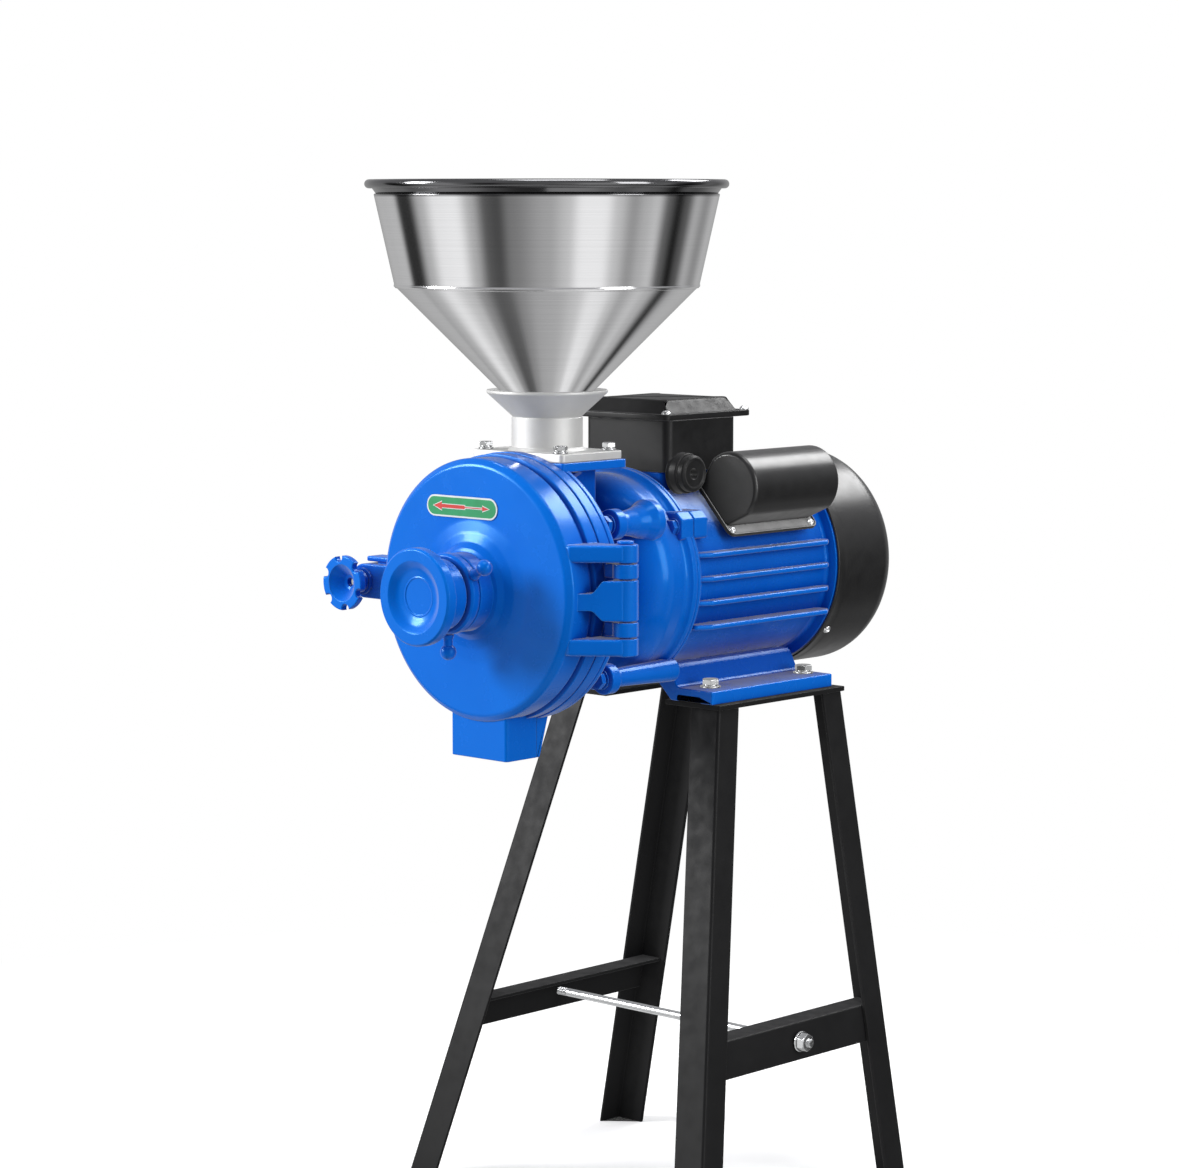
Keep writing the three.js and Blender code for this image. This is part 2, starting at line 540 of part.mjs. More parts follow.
function handwheel() {
  const w = WHEEL;
  const boreR = SPINDLE_R + GAP;
  const boreFront = w.dishFloor + w.floorThickness;
  return solid(turned([
    [0, w.dishFloor], [w.dishFloorR, w.dishFloor], [w.dishR, w.front], [w.rimR - w.edge, w.front],
    [w.rimR, w.front + w.edge], [w.rimR, w.rimBack - w.edge], [w.rimR - w.edge, w.rimBack],
    [w.hubFrontR, w.rimBack], [w.hubR, w.hubBack], [boreR, w.hubBack], [boreR, boreFront], [0, boreFront],
  ], ROUND));
}
piece('handwheel', handwheel(), BLUE);

const ringMiddle = (RING.front + RING.back) / 2;
const atLever = (shape, angle) => shape.rotate([0, 90 - angle, 0]);

function lever(angle) {
  const stub = solid(rodZ(RING.stubR, RING.boreForStub + 1, RING.r + 1, 0, ringMiddle, SCREW));
  const stem = solid(rodZ(RING.stemR, RING.r + GAP, RING.ballDistance, 0, ringMiddle));
  const ball = solid(new THREE.SphereGeometry(RING.ballR, 12, 8).translate(0, ringMiddle, RING.ballDistance));
  return atLever(join(stub, stem, ball), angle);
}

function lockRing() {
  const boreR = SPINDLE_R + GAP;
  const ring = solid(turned([
    [boreR, RING.front], [RING.r - 1, RING.front], [RING.r, RING.front + 1], [RING.r, RING.back],
    [boreR, RING.back],
  ], ROUND));
  const hole = () => solid(rodZ(RING.stubR + GAP, RING.boreForStub, RING.r + 5, 0, ringMiddle, SCREW));
  return cut(ring, ...RING.leverAngles.map((angle) => atLever(hole(), angle)));
}
piece('lock_ring', lockRing(), BLUE);
RING.leverAngles.forEach((angle, i) => piece(`lock_lever_${i + 1}`, lever(angle), BLUE));

// ---------- door latch ----------

const atLatch = (shape) => shape.translate([LATCH.x, 0, LATCH.z]);

// A thin star with a dished face, on a hub that tapers back to the lug.
function starKnob() {
  const k = STAR;
  const boreR = LATCH.boltR + GAP;
  const head = solid(turned([
    [0, k.front + k.dishDepth], [k.dishTipR, k.front + k.dishDepth], [k.dishR, k.front], [k.r - 1, k.front],
    [k.r, k.front + 1], [k.r, k.back - 1], [k.r - 1, k.back], [k.hubRootR, k.back], [k.hubR, k.back + 6],
    [k.hubR, k.hubBack], [boreR, k.hubBack], [boreR, 0], [0, 0],
  ], ROUND));
  const notches = Array.from({ length: k.notches }, (_, i) => {
    const a = THREE.MathUtils.degToRad(k.firstNotch + (360 * i) / k.notches);
    const [x, z] = [k.notchDistance * Math.cos(a), k.notchDistance * Math.sin(a)];
    return solid(rodY(k.notchR, k.front - 5, k.back + 5, x, z, SCREW));
  });
  return atLatch(cut(head, ...notches));
}
piece('star_knob', starKnob(), BLUE);
piece('lock_bolt', atLatch(solid(rodY(LATCH.boltR, GAP, LATCH.boltRear))), ZINC);

function lockWasher() {
  const [front, back] = [STAR.hubBack + GAP, LATCH.lugFront - GAP];
  const boreR = LATCH.boltR + 0.4;
  return atLatch(solid(turned([
    [boreR, front], [LATCH.washerR, front], [LATCH.washerR, back], [boreR, back]], HIDDEN)));
}
piece('lock_washer', lockWasher(), ZINC);

// ---------- shaft ----------

// The feed screw: a flight wound round a core on the shaft, between the throat and the discs.
function feedScrew() {
  const f = FEED;
  const bore = solid(rodY(SHAFT.r + GAP, f.front - 5, f.rear + 5, 0, 0, HIDDEN));
  const core = cut(solid(rodY(f.coreR, f.front, f.rear, 0, 0, HIDDEN)), bore);
  const middleR = (f.flightInnerR + f.flightOuterR) / 2;
  const flight = new THREE.BoxGeometry(f.flightOuterR - f.flightInnerR, f.flight, 1, 1, 1, 24);
  const position = flight.attributes.position;
  const [start, end] = [f.front + f.flight / 2 + 0.5, f.rear - f.flight / 2 - 0.5];
  for (let i = 0; i < position.count; i += 1) {
    const t = position.getZ(i) + 0.5;
    const a = 2 * Math.PI * f.turns * t;
    const r = middleR + position.getX(i);
    position.setXYZ(i, r * Math.cos(a), start + (end - start) * t + position.getY(i), r * Math.sin(a));
  }
  return join(core, solid(flight));
}
piece('feed_screw', feedScrew(), IRON);
piece('motor_shaft', rodY(SHAFT.r, SHAFT.front, SHAFT.rear, 0, 0, HIDDEN), STEEL);

const nutBack = DISC.movingFront - GAP;
piece('disc_nut', cut(
  solid(rodY(DISC.nutR, nutBack - DISC.nutThickness, nutBack, 0, 0, 6)),
  solid(rodY(SHAFT.r + GAP, 0, DISC.movingBack, 0, 0, HIDDEN)),
), ZINC);

// A plain ring on the shaft.
function ring(innerR, outerR, y0, y1) {
  return solid(turned([[innerR, y0], [outerR, y0], [outerR, y1], [innerR, y1]], HIDDEN));
}
const sealFront = THROAT.rear - THROAT.wall + GAP;
piece('shaft_seal', ring(SHAFT.r + GAP, 16, sealFront, THROAT.rear - GAP), BLACK_PLASTIC);

// ---------- motor ----------

function frontBell() {
  const b = BELL;
  const centreR = b.sideR - b.cornerR;
  const centreY = b.front + b.cornerR;
  const outerCorner = arc(centreR, centreY, b.cornerR, -90, 0, 3);
  const innerCorner = arc(centreR, centreY, b.cornerR - b.wall, 0, -90, 2);
  const [pocket0, pocket1] = [BEARING.frontY[0] - GAP, BEARING.frontY[1] + 1.2];
  const shell = solid(turned([
    [b.boreR, b.front], ...outerCorner, [b.sideR, b.flangeFront], [b.flangeR, b.flangeFront],
    [b.flangeR, b.rear], [b.sideR - b.wall, b.rear], ...innerCorner, [b.housingR, b.front + b.wall],
    [b.housingR, pocket1], [BEARING.r + GAP, pocket1], [BEARING.r + GAP, pocket0], [b.boreR, pocket0],
  ], WIDE));
  const pillars = earPoints.map(({ x, z, pillar, pillarR, rootR }) => solid(
    new THREE.CylinderGeometry(rootR, pillarR, pillar, ROUND)
      .translate(x, EAR.back + GAP + pillar / 2, z)));
  const frameEars = SIDES.map(([, side]) => {
    const [x0, x1] = b.earX.map((x) => side * x).sort((p, q) => p - q);
    return solid(block([x0, b.earFront, b.earZ[0]], [x1, b.rear, b.earZ[1]]));
  });
  const bore = solid(rodY(b.sideR - b.wall, centreY, b.rear + 1, 0, 0, WIDE));
  return cut(join(shell, ...pillars, ...frameEars), bore, ...earHoles(EAR.back - 2, EAR.back + 22));
}
piece('end_bell_front', frontBell(), BLUE);

function fin(side, z) {
  const f = FRAME;
  const shoulder = f.finTipX - f.finNose;
  const plan = [
    [f.finRootX, f.finFront], [shoulder, f.finFront], [f.finTipX, f.finFront + 1.5 * f.finNose],
    [f.finTipX, f.finRear - f.finNose], [shoulder, f.finRear], [f.finRootX, f.finRear],
  ].map(([x, y]) => [side * x, y]);
  return solid(prismZ(plan, z - f.finThickness / 2, z + f.finThickness / 2));
}

// A foot: a slanted wall under the frame and a slab with a recess beneath.
function footSide(side) {
  const { top, bottom, outerX, recess } = FOOT;
  const outline = [
    [24, -75], [37, -72], [48, top], [outerX, top], [outerX, bottom], [73, bottom], [73, bottom + recess],
    [49, bottom + recess], [49, bottom], [41, bottom], [22, -80],
  ].map(([x, z]) => [side * x, z]);
  return solid(prismY(outline, FOOT.front, FOOT.rear));
}

const capacitorAxis = THREE.MathUtils.degToRad(CAPACITOR.angle);

// Places a shape drawn with its base at z = 0 on the frame's upper right, tangent to the frame.
function onShoulder(shape) {
  const lift = CAPACITOR.baseR;
  return shape.rotate([0, 90 - CAPACITOR.angle, 0])
    .translate([lift * Math.cos(capacitorAxis), 0, lift * Math.sin(capacitorAxis)]);
}

function motorFrame() {
  const f = FRAME;
  const tube = solid(turned([
    [f.boreR, f.front], [f.flangeR, f.front], [f.flangeR, f.flangeRear], [f.r, f.flangeRear + 1],
    [f.r, f.rimFront - 2],
    [f.rimR, f.rimFront], [f.rimR, f.rear], [f.boreR, f.rear],
  ], WIDE));
  const fins = SIDES.flatMap(([, side]) => f.fins.map((z) => fin(side, z)));
  const boxPad = solid(block(
    [-BOX.padHalfX, BOX.front + 2, BOX.padBottom], [BOX.padHalfX, BOX.rear - 2, BOX.bottom - GAP]));
  const shoulder = onShoulder(solid(block(
    [-CAPACITOR.footR, CAPACITOR.front + 6, -20], [CAPACITOR.footR, CAPACITOR.rear - 6, -GAP - 0.1])));
  const bore = solid(rodY(f.boreR, f.front - 5, f.rear + 5, 0, 0, WIDE));
  const footHoles = SIDES.flatMap(([, side]) => FOOT.boltY.map((y) => solid(
    rodZ(4.4, FOOT.bottom - 5, FOOT.top + 5, side * FOOT.boltX, y, SCREW))));
  return cut(join(tube, ...fins, boxPad, shoulder, footSide(1), footSide(-1)), bore, ...footHoles);
}
piece('motor_frame', motorFrame(), BLUE);

// A shallow cap on the frame's rear rim, with the rear bearing's pocket.
function rearBell() {
  const seat = FRAME.rear + GAP;
  const pocketR = BEARING.rearR + GAP;
  const pocketFront = BEARING.rearY[0] - GAP;
  const [rim, back] = [FRAME.rear + 6, FRAME.rear + 8];
  return solid(turned([
    [BELL.boreR, back], [BELL.boreR, FRAME.rear + 5], [pocketR, FRAME.rear + 5], [pocketR, pocketFront],
    [pocketR + 6, pocketFront], [pocketR + 6, seat], [FRAME.r, seat], [FRAME.r, rim], [BELL.housingR, back],
  ], HIDDEN));
}
piece('end_bell_rear', rearBell(), BLUE);

piece('bearing_front', ring(BEARING.boreR, BEARING.r, ...BEARING.frontY), STEEL);
piece('bearing_rear', ring(BEARING.boreR, BEARING.rearR, ...BEARING.rearY), STEEL);

// The stator is a laminated ring with a thick winding at each end.
function stator() {
  const t = STATOR;
  return solid(turned([
    [t.innerR, t.front], [t.innerR + 4, t.front], [t.coilInnerR, t.coilFront], [t.coilOuterR, t.coilFront],
    [t.coilOuterR + 2, t.front], [t.outerR, t.front], [t.outerR, t.rear], [t.coilOuterR + 2, t.rear],
    [t.coilOuterR, t.coilRear], [t.coilInnerR, t.coilRear], [t.innerR + 4, t.rear], [t.innerR, t.rear],
  ], HIDDEN));
}
piece('stator', stator(), COPPER);

function rotor() {
  const { r, ringR, front, rear, ring: ringWidth } = ROTOR;
  const boreR = SHAFT.r + GAP;
  return solid(turned([
    [boreR, front], [ringR, front], [r, front + ringWidth], [r, rear - ringWidth], [ringR, rear], [boreR, rear],
  ], HIDDEN));
}
piece('rotor', rotor(), STEEL);

function coolingFan() {
  const f = FAN;
  const boreR = SHAFT.r + GAP;
  const hub = solid(turned([
    [boreR, f.front], [f.hubR, f.front], [f.hubR, f.plateFront], [f.r, f.plateFront], [f.r, f.plateRear],
    [f.hubR, f.plateRear], [f.hubR, f.hubRear], [boreR, f.hubRear],
  ], HIDDEN));
  const half = f.bladeThickness / 2;
  const blade = () => block([f.hubR - 2, f.plateRear - 0.5, -half], [f.r, f.bladeRear, half]);
  const blades = Array.from({ length: f.blades }, (_, i) => solid(turnY(blade(), (360 * i) / f.blades)));
  return join(hub, ...blades);
}
piece('cooling_fan', coolingFan(), BLACK_PLASTIC);

function fanCover() {
  const c = COVER;
  const outerCorner = arc(c.r - c.cornerR, c.rear - c.cornerR, c.cornerR, 0, 90, 4);
  const innerCorner = arc(c.r - c.cornerR, c.rear - c.cornerR, c.cornerR - c.wall, 90, 0, 4);
  const cup = solid(turned([
    [c.r - c.wall, c.front], [c.r, c.front], ...outerCorner, [0, c.rear], [0, c.rear - c.wall], ...innerCorner,
  ], WIDE));
  const half = c.slotWidth / 2;
  const slots = Array.from({ length: c.slots }, (_, i) => solid(turnY(
    block([c.slotInnerR, c.rear - 5, -half], [c.slotOuterR, c.rear + 5, half]), (360 * i) / c.slots)));
  return cut(cup, ...slots);
}
piece('fan_cover', fanCover(), BLACK);

// ---------- terminal box and capacitor ----------

function terminalBox() {
  const b = BOX;
  const outer = solid(block([-b.halfX, b.front, b.bottom], [b.halfX, b.rear, b.top]));
  const inner = solid(block(
    [-b.halfX + b.wall, b.front + b.wall, b.bottom + b.wall], [b.halfX - b.wall, b.rear - b.wall, b.top + 5]));
  const boss = solid(rodX(GLAND.bossR, b.halfX - 1, GLAND.bossEnd, GLAND.y, GLAND.z, ROUND));
  const hole = solid(rodX(GLAND.boreR, b.halfX - 10, GLAND.bossEnd + 5, GLAND.y, GLAND.z));
  return cut(join(cut(outer, inner), boss), hole);
}
piece('terminal_box', terminalBox(), BLACK_PLASTIC);

piece('cable_gland', cut(
  solid(rodX(GLAND.r, GLAND.bossEnd + GAP, GLAND.end, GLAND.y, GLAND.z, ROUND)),
  solid(rodX(GLAND.boreR, GLAND.bossEnd - 5, GLAND.end + 5, GLAND.y, GLAND.z)),
), BLACK_PLASTIC);

// The lid is a plate with a raised, bevelled top.
function lid() {
  const l = LID;
  const z0 = BOX.top + GAP;
  const plate = solid(block([-l.halfX, l.front, z0], [l.halfX, l.rear, z0 + l.plate]));
  const w = l.halfX - l.margin - l.bevel;
  const [front, rear] = [l.front + l.margin + l.bevel, l.rear - l.rearMargin - l.bevel];
  const shape = new THREE.Shape(
    [[-w, front], [w, front], [w, rear], [-w, rear]].map(([x, y]) => new THREE.Vector2(x, y)));
  const raised = solid(new THREE.ExtrudeGeometry(shape, {
    depth: 1, bevelEnabled: true, bevelThickness: l.height - l.plate, bevelSize: l.bevel, bevelSegments: 1,
  }).translate(0, 0, z0 + l.plate - 1));
  const below = solid(block([-l.halfX, l.front, z0 - l.height], [l.halfX, l.rear, z0]));
  return cut(join(plate, raised), below);
}
piece('terminal_box_lid', lid(), BLACK_PLASTIC);

// The capacitor's cover: a U-shaped hood on a flat flange, drawn upright and then set on the shoulder.
function hoodOutline(shrink) {
  const r = CAPACITOR.domeR - shrink;
  const foot = CAPACITOR.footR - shrink;
  return [[foot, 0], ...arc(0, CAPACITOR.domeHeight, r, 0, 180, 10), [-foot, 0]];
}
function capacitorCover() {
  const c = CAPACITOR;
  const flange = solid(block([-c.flangeHalf, c.front - 2, 0], [c.flangeHalf, c.rear + 2, c.flangeThickness]));
  const hood = solid(prismY(hoodOutline(0), c.front, c.rear));
  const inner = solid(prismY(hoodOutline(c.wall), c.front + c.wall, c.rear - c.wall)).translate([0, 0, -0.01]);
  const mouth = solid(block(
    [-c.mouthHalf, c.front + c.wall, -1], [c.mouthHalf, c.rear - c.wall, c.flangeThickness + 1]));
  return onShoulder(cut(join(flange, hood), inner, mouth));
}
piece('capacitor_cover', capacitorCover(), BLACK);
piece('capacitor', onShoulder(solid(rodY(
  CAPACITOR.canR, CAPACITOR.front + CAPACITOR.canMargin, CAPACITOR.rear - CAPACITOR.canMargin,
  0, CAPACITOR.domeHeight, ROUND))), ALUMINIUM);

let footBoltNumber = 0;
for (const [, side] of SIDES) {
  for (const y of FOOT.boltY) {
    footBoltNumber += 1;
    piece(`foot_bolt_${footBoltNumber}`,
      hexScrew(4, 9.5, 13, 5.5, 8.5).translate([side * FOOT.boltX, y, FOOT.top + GAP]), ZINC);
  }
}

export default machine;
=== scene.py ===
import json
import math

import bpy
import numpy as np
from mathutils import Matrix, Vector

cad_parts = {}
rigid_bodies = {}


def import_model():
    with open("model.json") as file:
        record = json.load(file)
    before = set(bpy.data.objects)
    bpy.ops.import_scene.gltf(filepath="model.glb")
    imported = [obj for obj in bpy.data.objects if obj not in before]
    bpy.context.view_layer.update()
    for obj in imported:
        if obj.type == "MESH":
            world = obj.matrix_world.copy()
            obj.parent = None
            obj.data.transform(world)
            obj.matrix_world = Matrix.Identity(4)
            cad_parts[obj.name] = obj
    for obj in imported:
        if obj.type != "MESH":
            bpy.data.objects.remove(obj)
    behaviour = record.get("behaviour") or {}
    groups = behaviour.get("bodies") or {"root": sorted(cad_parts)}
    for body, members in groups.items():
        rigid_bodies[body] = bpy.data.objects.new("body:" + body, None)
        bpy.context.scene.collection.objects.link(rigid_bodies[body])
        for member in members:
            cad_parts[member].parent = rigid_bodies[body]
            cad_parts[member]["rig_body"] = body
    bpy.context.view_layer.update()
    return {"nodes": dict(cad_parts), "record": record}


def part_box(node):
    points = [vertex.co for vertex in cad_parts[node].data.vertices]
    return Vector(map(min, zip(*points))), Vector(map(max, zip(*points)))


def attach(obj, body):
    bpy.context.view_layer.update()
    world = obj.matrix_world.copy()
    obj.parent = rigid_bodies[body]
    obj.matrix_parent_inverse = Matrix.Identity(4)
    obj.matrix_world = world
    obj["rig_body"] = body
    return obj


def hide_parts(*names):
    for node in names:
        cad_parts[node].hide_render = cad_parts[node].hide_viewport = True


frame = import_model()

# Looks for the electric disc grain mill. Shapes are drawn in the mill's own drawing frame, in millimetres:
# y = 0 is 5 mm behind the door's front face, z = 0 is the shaft axis, +X is towards the hinge and +Y is
# towards the fan cover.
# A shape is a pair (points, faces); piece() turns one into a Blender object in the row frame, in metres.

MM = 0.001
COVER_REAR = 418.0                     # the fan cover's rear face in the drawing frame
cover_low, cover_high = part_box("fan_cover")
ORIGIN = np.array([0.0, cover_high.y - COVER_REAR * MM, (cover_low.z + cover_high.z) / 2])
FLOOR_Z = -ORIGIN[2] / MM              # the floor in the drawing frame
GAP = 0.3                              # clearance between neighbouring pieces
FINE, ROUND, SMALL = 160, 72, 32       # steps round a casing, a knob and a screw
SIDES = (("right", 1), ("left", -1))

# ---------- camera ----------

CAMERA_PLACE = (1929.3, -1940.4, 306.7)
CAMERA_TURN, CAMERA_DROP = math.radians(43.0), math.radians(6.3)
CAMERA_LENS, CAMERA_SENSOR = 106.87, 36.0


def row(point):
    """A drawing-frame point in the row frame, in metres."""
    return Vector(np.array(point, float) * MM + ORIGIN)


camera_data = bpy.data.cameras.new("camera")
camera_data.lens = CAMERA_LENS
camera_data.sensor_width = CAMERA_SENSOR
camera_data.clip_end = 100
camera = bpy.data.objects.new("camera", camera_data)
camera.location = row(CAMERA_PLACE)
camera.rotation_euler = (math.pi / 2 - CAMERA_DROP, 0, CAMERA_TURN)
bpy.context.scene.collection.objects.link(camera)
bpy.context.scene.camera = camera

# ---------- outlines ----------


def rounded(points, steps=5):
    """An outline whose points (a, b, radius) become arcs of that radius; points (a, b) stay sharp."""
    made = []
    for i, point in enumerate(points):
        here = np.array(point[:2], float)
        radius = point[2] if len(point) > 2 else 0
        before = np.array(points[i - 1][:2], float) - here
        after = np.array(points[(i + 1) % len(points)][:2], float) - here
        if radius == 0 or not before.any() or not after.any():
            made.append(tuple(here))
            continue
        before /= np.linalg.norm(before)
        after /= np.linalg.norm(after)
        half = math.acos(max(-1.0, min(1.0, before @ after))) / 2
        if half > math.radians(89):
            made.append(tuple(here))
            continue
        middle = (before + after) / np.linalg.norm(before + after)
        centre = here + middle * radius / math.sin(half)
        start = here + before * radius / math.tan(half) - centre
        end = here + after * radius / math.tan(half) - centre
        first = math.atan2(start[1], start[0])
        sweep = (math.atan2(end[1], end[0]) - first + math.pi) % math.tau - math.pi
        for k in range(steps + 1):
            angle = first + sweep * k / steps
            made.append((centre[0] + radius * math.cos(angle), centre[1] + radius * math.sin(angle)))
    return made


def arc(ca, cb, radius, start, end, steps):
    """Points on an arc, angles in degrees."""
    angles = (math.radians(start + (end - start) * k / steps) for k in range(steps + 1))
    return [(ca + radius * math.cos(a), cb + radius * math.sin(a)) for a in angles]


def box_outline(a0, b0, a1, b1, radius):
    return rounded([(a0, b0, radius), (a1, b0, radius), (a1, b1, radius), (a0, b1, radius)])


def inset(outline, distance):
    """The outline with every side moved inwards."""
    p = np.array(outline, float)
    ahead, behind = np.roll(p, -1, axis=0), np.roll(p, 1, axis=0)
    area = np.sum(p[:, 0] * ahead[:, 1] - ahead[:, 0] * p[:, 1])
    turn = 1 if area > 0 else -1

    def inward(side):
        side = side / np.maximum(np.linalg.norm(side, axis=1), 1e-9)[:, None]
        return turn * np.stack([-side[:, 1], side[:, 0]], axis=1)

    one, two = inward(p - behind), inward(ahead - p)
    return p + distance * (one + two) / (1 + np.sum(one * two, axis=1))[:, None]


# ---------- solids ----------


def outward(points, faces):
    """The shape with its faces turned outwards."""
    points = np.array(points, float)
    volume = 0.0
    for face in faces:
        a = points[face[0]]
        for k in range(1, len(face) - 1):
            volume += np.dot(a, np.cross(points[face[k]], points[face[k + 1]]))
    return (points, faces) if volume > 0 else (points, [tuple(reversed(f)) for f in faces])


PLACE = {"X": (2, 0, 1), "Y": (0, 2, 1), "Z": (0, 1, 2)}     # columns of (a, b, along) that give x, y, z


def lathe(profile, axis="Y", at=(0, 0), steps=ROUND, arcs=5):
    """A closed outline of (radius, along) or (radius, along, rounding) points turned about an axis."""
    points, rings, faces = [], [], []
    for radius, along in rounded(profile, arcs):
        count = steps if radius > 1e-6 else 1
        rings.append([len(points) + i for i in range(count)])
        for i in range(count):
            angle = math.tau * i / steps
            points.append((at[0] + radius * math.cos(angle), at[1] + radius * math.sin(angle), along))
    for k, one in enumerate(rings):
        two = rings[(k + 1) % len(rings)]
        if len(one) == len(two) == 1:
            continue
        for i in range(steps):
            j = (i + 1) % steps
            corners = [one[i % len(one)], one[j % len(one)], two[j % len(two)], two[i % len(two)]]
            faces.append(tuple(dict.fromkeys(corners)))
    return outward(np.array(points)[:, PLACE[axis]], faces)


def loft(rings):
    """Rings of points joined one to the next and closed at both ends."""
    count = len(rings[0])
    points = [point for ring in rings for point in ring]
    faces = [tuple(range(count)), tuple(reversed(range(len(points) - count, len(points))))]
    for start in range(0, len(points) - count, count):
        for i in range(count):
            j = (i + 1) % count
            faces.append((start + j, start + i, start + count + i, start + count + j))
    return points, faces


def prism(outline, low, high, axis="Z", edge=0.0, edges=None, steps=3):
    """An outline, its points rounded as in rounded(), drawn out along an axis; edge rounds both end rims,
    edges gives each end its own radius."""
    outline = rounded(outline)
    low_edge, high_edge = edges or (edge, edge)
    quarter = [math.pi / 2 * k / steps for k in range(steps + 1)]
    bottom = [(low_edge * (1 - math.sin(q)), low + low_edge * (1 - math.cos(q))) for q in quarter]
    top = [(high_edge * (1 - math.sin(q)), high - high_edge * (1 - math.cos(q))) for q in reversed(quarter)]
    layers = (bottom if low_edge else [(0, low)]) + (top if high_edge else [(0, high)])
    points, faces = loft([[(a, b, along) for a, b in inset(outline, shrink)] for shrink, along in layers])
    return outward(np.array(points)[:, PLACE[axis]], faces)


def spun(profile, arcs=5):
    """An outline turned finely about the shaft."""
    return lathe(profile, steps=FINE, arcs=arcs)


def block(low, high, corner=0.0, edge=0.0, axis="Z"):
    """A box with rounded corners about an axis and rounded end rims."""
    a, b, c = {"X": (1, 2, 0), "Y": (0, 2, 1), "Z": (0, 1, 2)}[axis]
    return prism(box_outline(low[a], low[b], high[a], high[b], corner), low[c], high[c], axis, edge)


def rod(radius, low, high, axis="Y", at=(0, 0), edge=0.0, steps=SMALL):
    """A round bar with rounded ends."""
    return lathe([(0, low), (radius, low, edge), (radius, high, edge), (0, high)], axis, at, steps, 3)


def ball(radius, centre, steps=SMALL):
    angles = np.linspace(0, math.pi, steps // 2 + 1)
    profile = [(radius * math.sin(a), -radius * math.cos(a)) for a in angles]
    profile[0], profile[-1] = (0, -radius), (0, radius)
    return moved(lathe(profile, "Z", (0, 0), steps), *centre)


def moved(made, x=0.0, y=0.0, z=0.0):
    return made[0] + np.array([x, y, z]), made[1]


def turned(made, axis, degrees):
    """The shape turned about an axis through the origin, right-handed."""
    c, s = math.cos(math.radians(degrees)), math.sin(math.radians(degrees))
    matrix = {
        "X": [[1, 0, 0], [0, c, -s], [0, s, c]],
        "Y": [[c, 0, s], [0, 1, 0], [-s, 0, c]],
        "Z": [[c, -s, 0], [s, c, 0], [0, 0, 1]],
    }[axis]
    return made[0] @ np.array(matrix).T, made[1]


def mirrored(made):
    """The shape reflected from +X to -X."""
    return made[0] * np.array([-1, 1, 1]), [tuple(reversed(f)) for f in made[1]]


def together(*shapes):
    """Separate bodies in one shape."""
    points, faces, start = [], [], 0
    for p, f in shapes:
        points.append(p)
        faces += [tuple(start + i for i in face) for face in f]
        start += len(p)
    return np.concatenate(points), faces


def scratch(made):
    mesh = bpy.data.meshes.new("scratch")
    mesh.from_pydata(made[0].tolist(), [], made[1])
    mesh.update()
    body = bpy.data.objects.new("scratch", mesh)
    bpy.context.scene.collection.objects.link(body)
    return body


def combine(base, others, operation):
    """The first shape united with, cut by or limited to the others."""
    target = scratch(base)
    tools = [scratch(other) for other in others]
    for tool in tools:
        step = target.modifiers.new("step", "BOOLEAN")
        step.object, step.operation, step.solver = tool, operation, "MANIFOLD"
    mesh = target.evaluated_get(bpy.context.evaluated_depsgraph_get()).to_mesh()
    points = np.array([v.co for v in mesh.vertices], float)
    faces = [tuple(p.vertices) for p in mesh.polygons]
    for body in (target, *tools):
        used = body.data
        bpy.data.objects.remove(body)
        bpy.data.meshes.remove(used)
    return points, faces


def join(base, *others):
    return combine(base, others, "UNION")


def cut(base, *others):
    return combine(base, others, "DIFFERENCE")


def common(base, *others):
    return combine(base, others, "INTERSECT")


# ---------- materials ----------

NOISE_SPREAD = (0.3, 0.7)              # nearly all of a noise texture's values lie between these


def material(name, colour, roughness, metallic=0.0, **sockets):
    """A Principled material. Returns the material, its node tree and its shader."""
    made = bpy.data.materials.new(name)
    made.use_nodes = True
    shader = made.node_tree.nodes["Principled BSDF"]
    shader.inputs["Base Color"].default_value = (*colour, 1)
    shader.inputs["Roughness"].default_value = roughness
    shader.inputs["Metallic"].default_value = metallic
    for socket, value in sockets.items():
        shader.inputs[socket.replace("_", " ")].default_value = value
    return made, made.node_tree, shader


def add(tree, kind):
    return tree.nodes.new("ShaderNode" + kind)


def drive(tree, shader, **sockets):
    """Links each value to the shader's socket of that name."""
    for socket, value in sockets.items():
        tree.links.new(value, shader.inputs[socket.replace("_", " ")])


def noise(tree, scale, detail=3.0, stretch=None):
    """Noise in the object's own metres; scale is in features per metre."""
    place = add(tree, "TexCoord").outputs["Object"]
    texture = add(tree, "TexNoise")
    texture.inputs["Scale"].default_value = scale
    texture.inputs["Detail"].default_value = detail
    if stretch:
        mapping = add(tree, "Mapping")
        mapping.inputs["Scale"].default_value = stretch
        tree.links.new(place, mapping.inputs["Vector"])
        place = mapping.outputs["Vector"]
    tree.links.new(place, texture.inputs["Vector"])
    return texture.outputs["Fac"]


def remap(tree, value, low, high, to_low, to_high):
    node = add(tree, "MapRange")
    for socket, number in (("From Min", low), ("From Max", high), ("To Min", to_low), ("To Max", to_high)):
        node.inputs[socket].default_value = number
    tree.links.new(value, node.inputs["Value"])
    return node.outputs["Result"]


def spread(tree, value, low=0, high=1):
    """Noise drawn out to run from low to high."""
    return remap(tree, value, *NOISE_SPREAD, low, high)


def mix(tree, factor, one, two):
    """A colour mix; one and two are colours or sockets."""
    node = add(tree, "Mix")
    node.data_type = "RGBA"
    tree.links.new(factor, node.inputs["Factor"])
    for socket, colour in ((node.inputs[6], one), (node.inputs[7], two)):
        if isinstance(colour, tuple):
            socket.default_value = (*colour, 1)
        else:
            tree.links.new(colour, socket)
    return node.outputs[2]


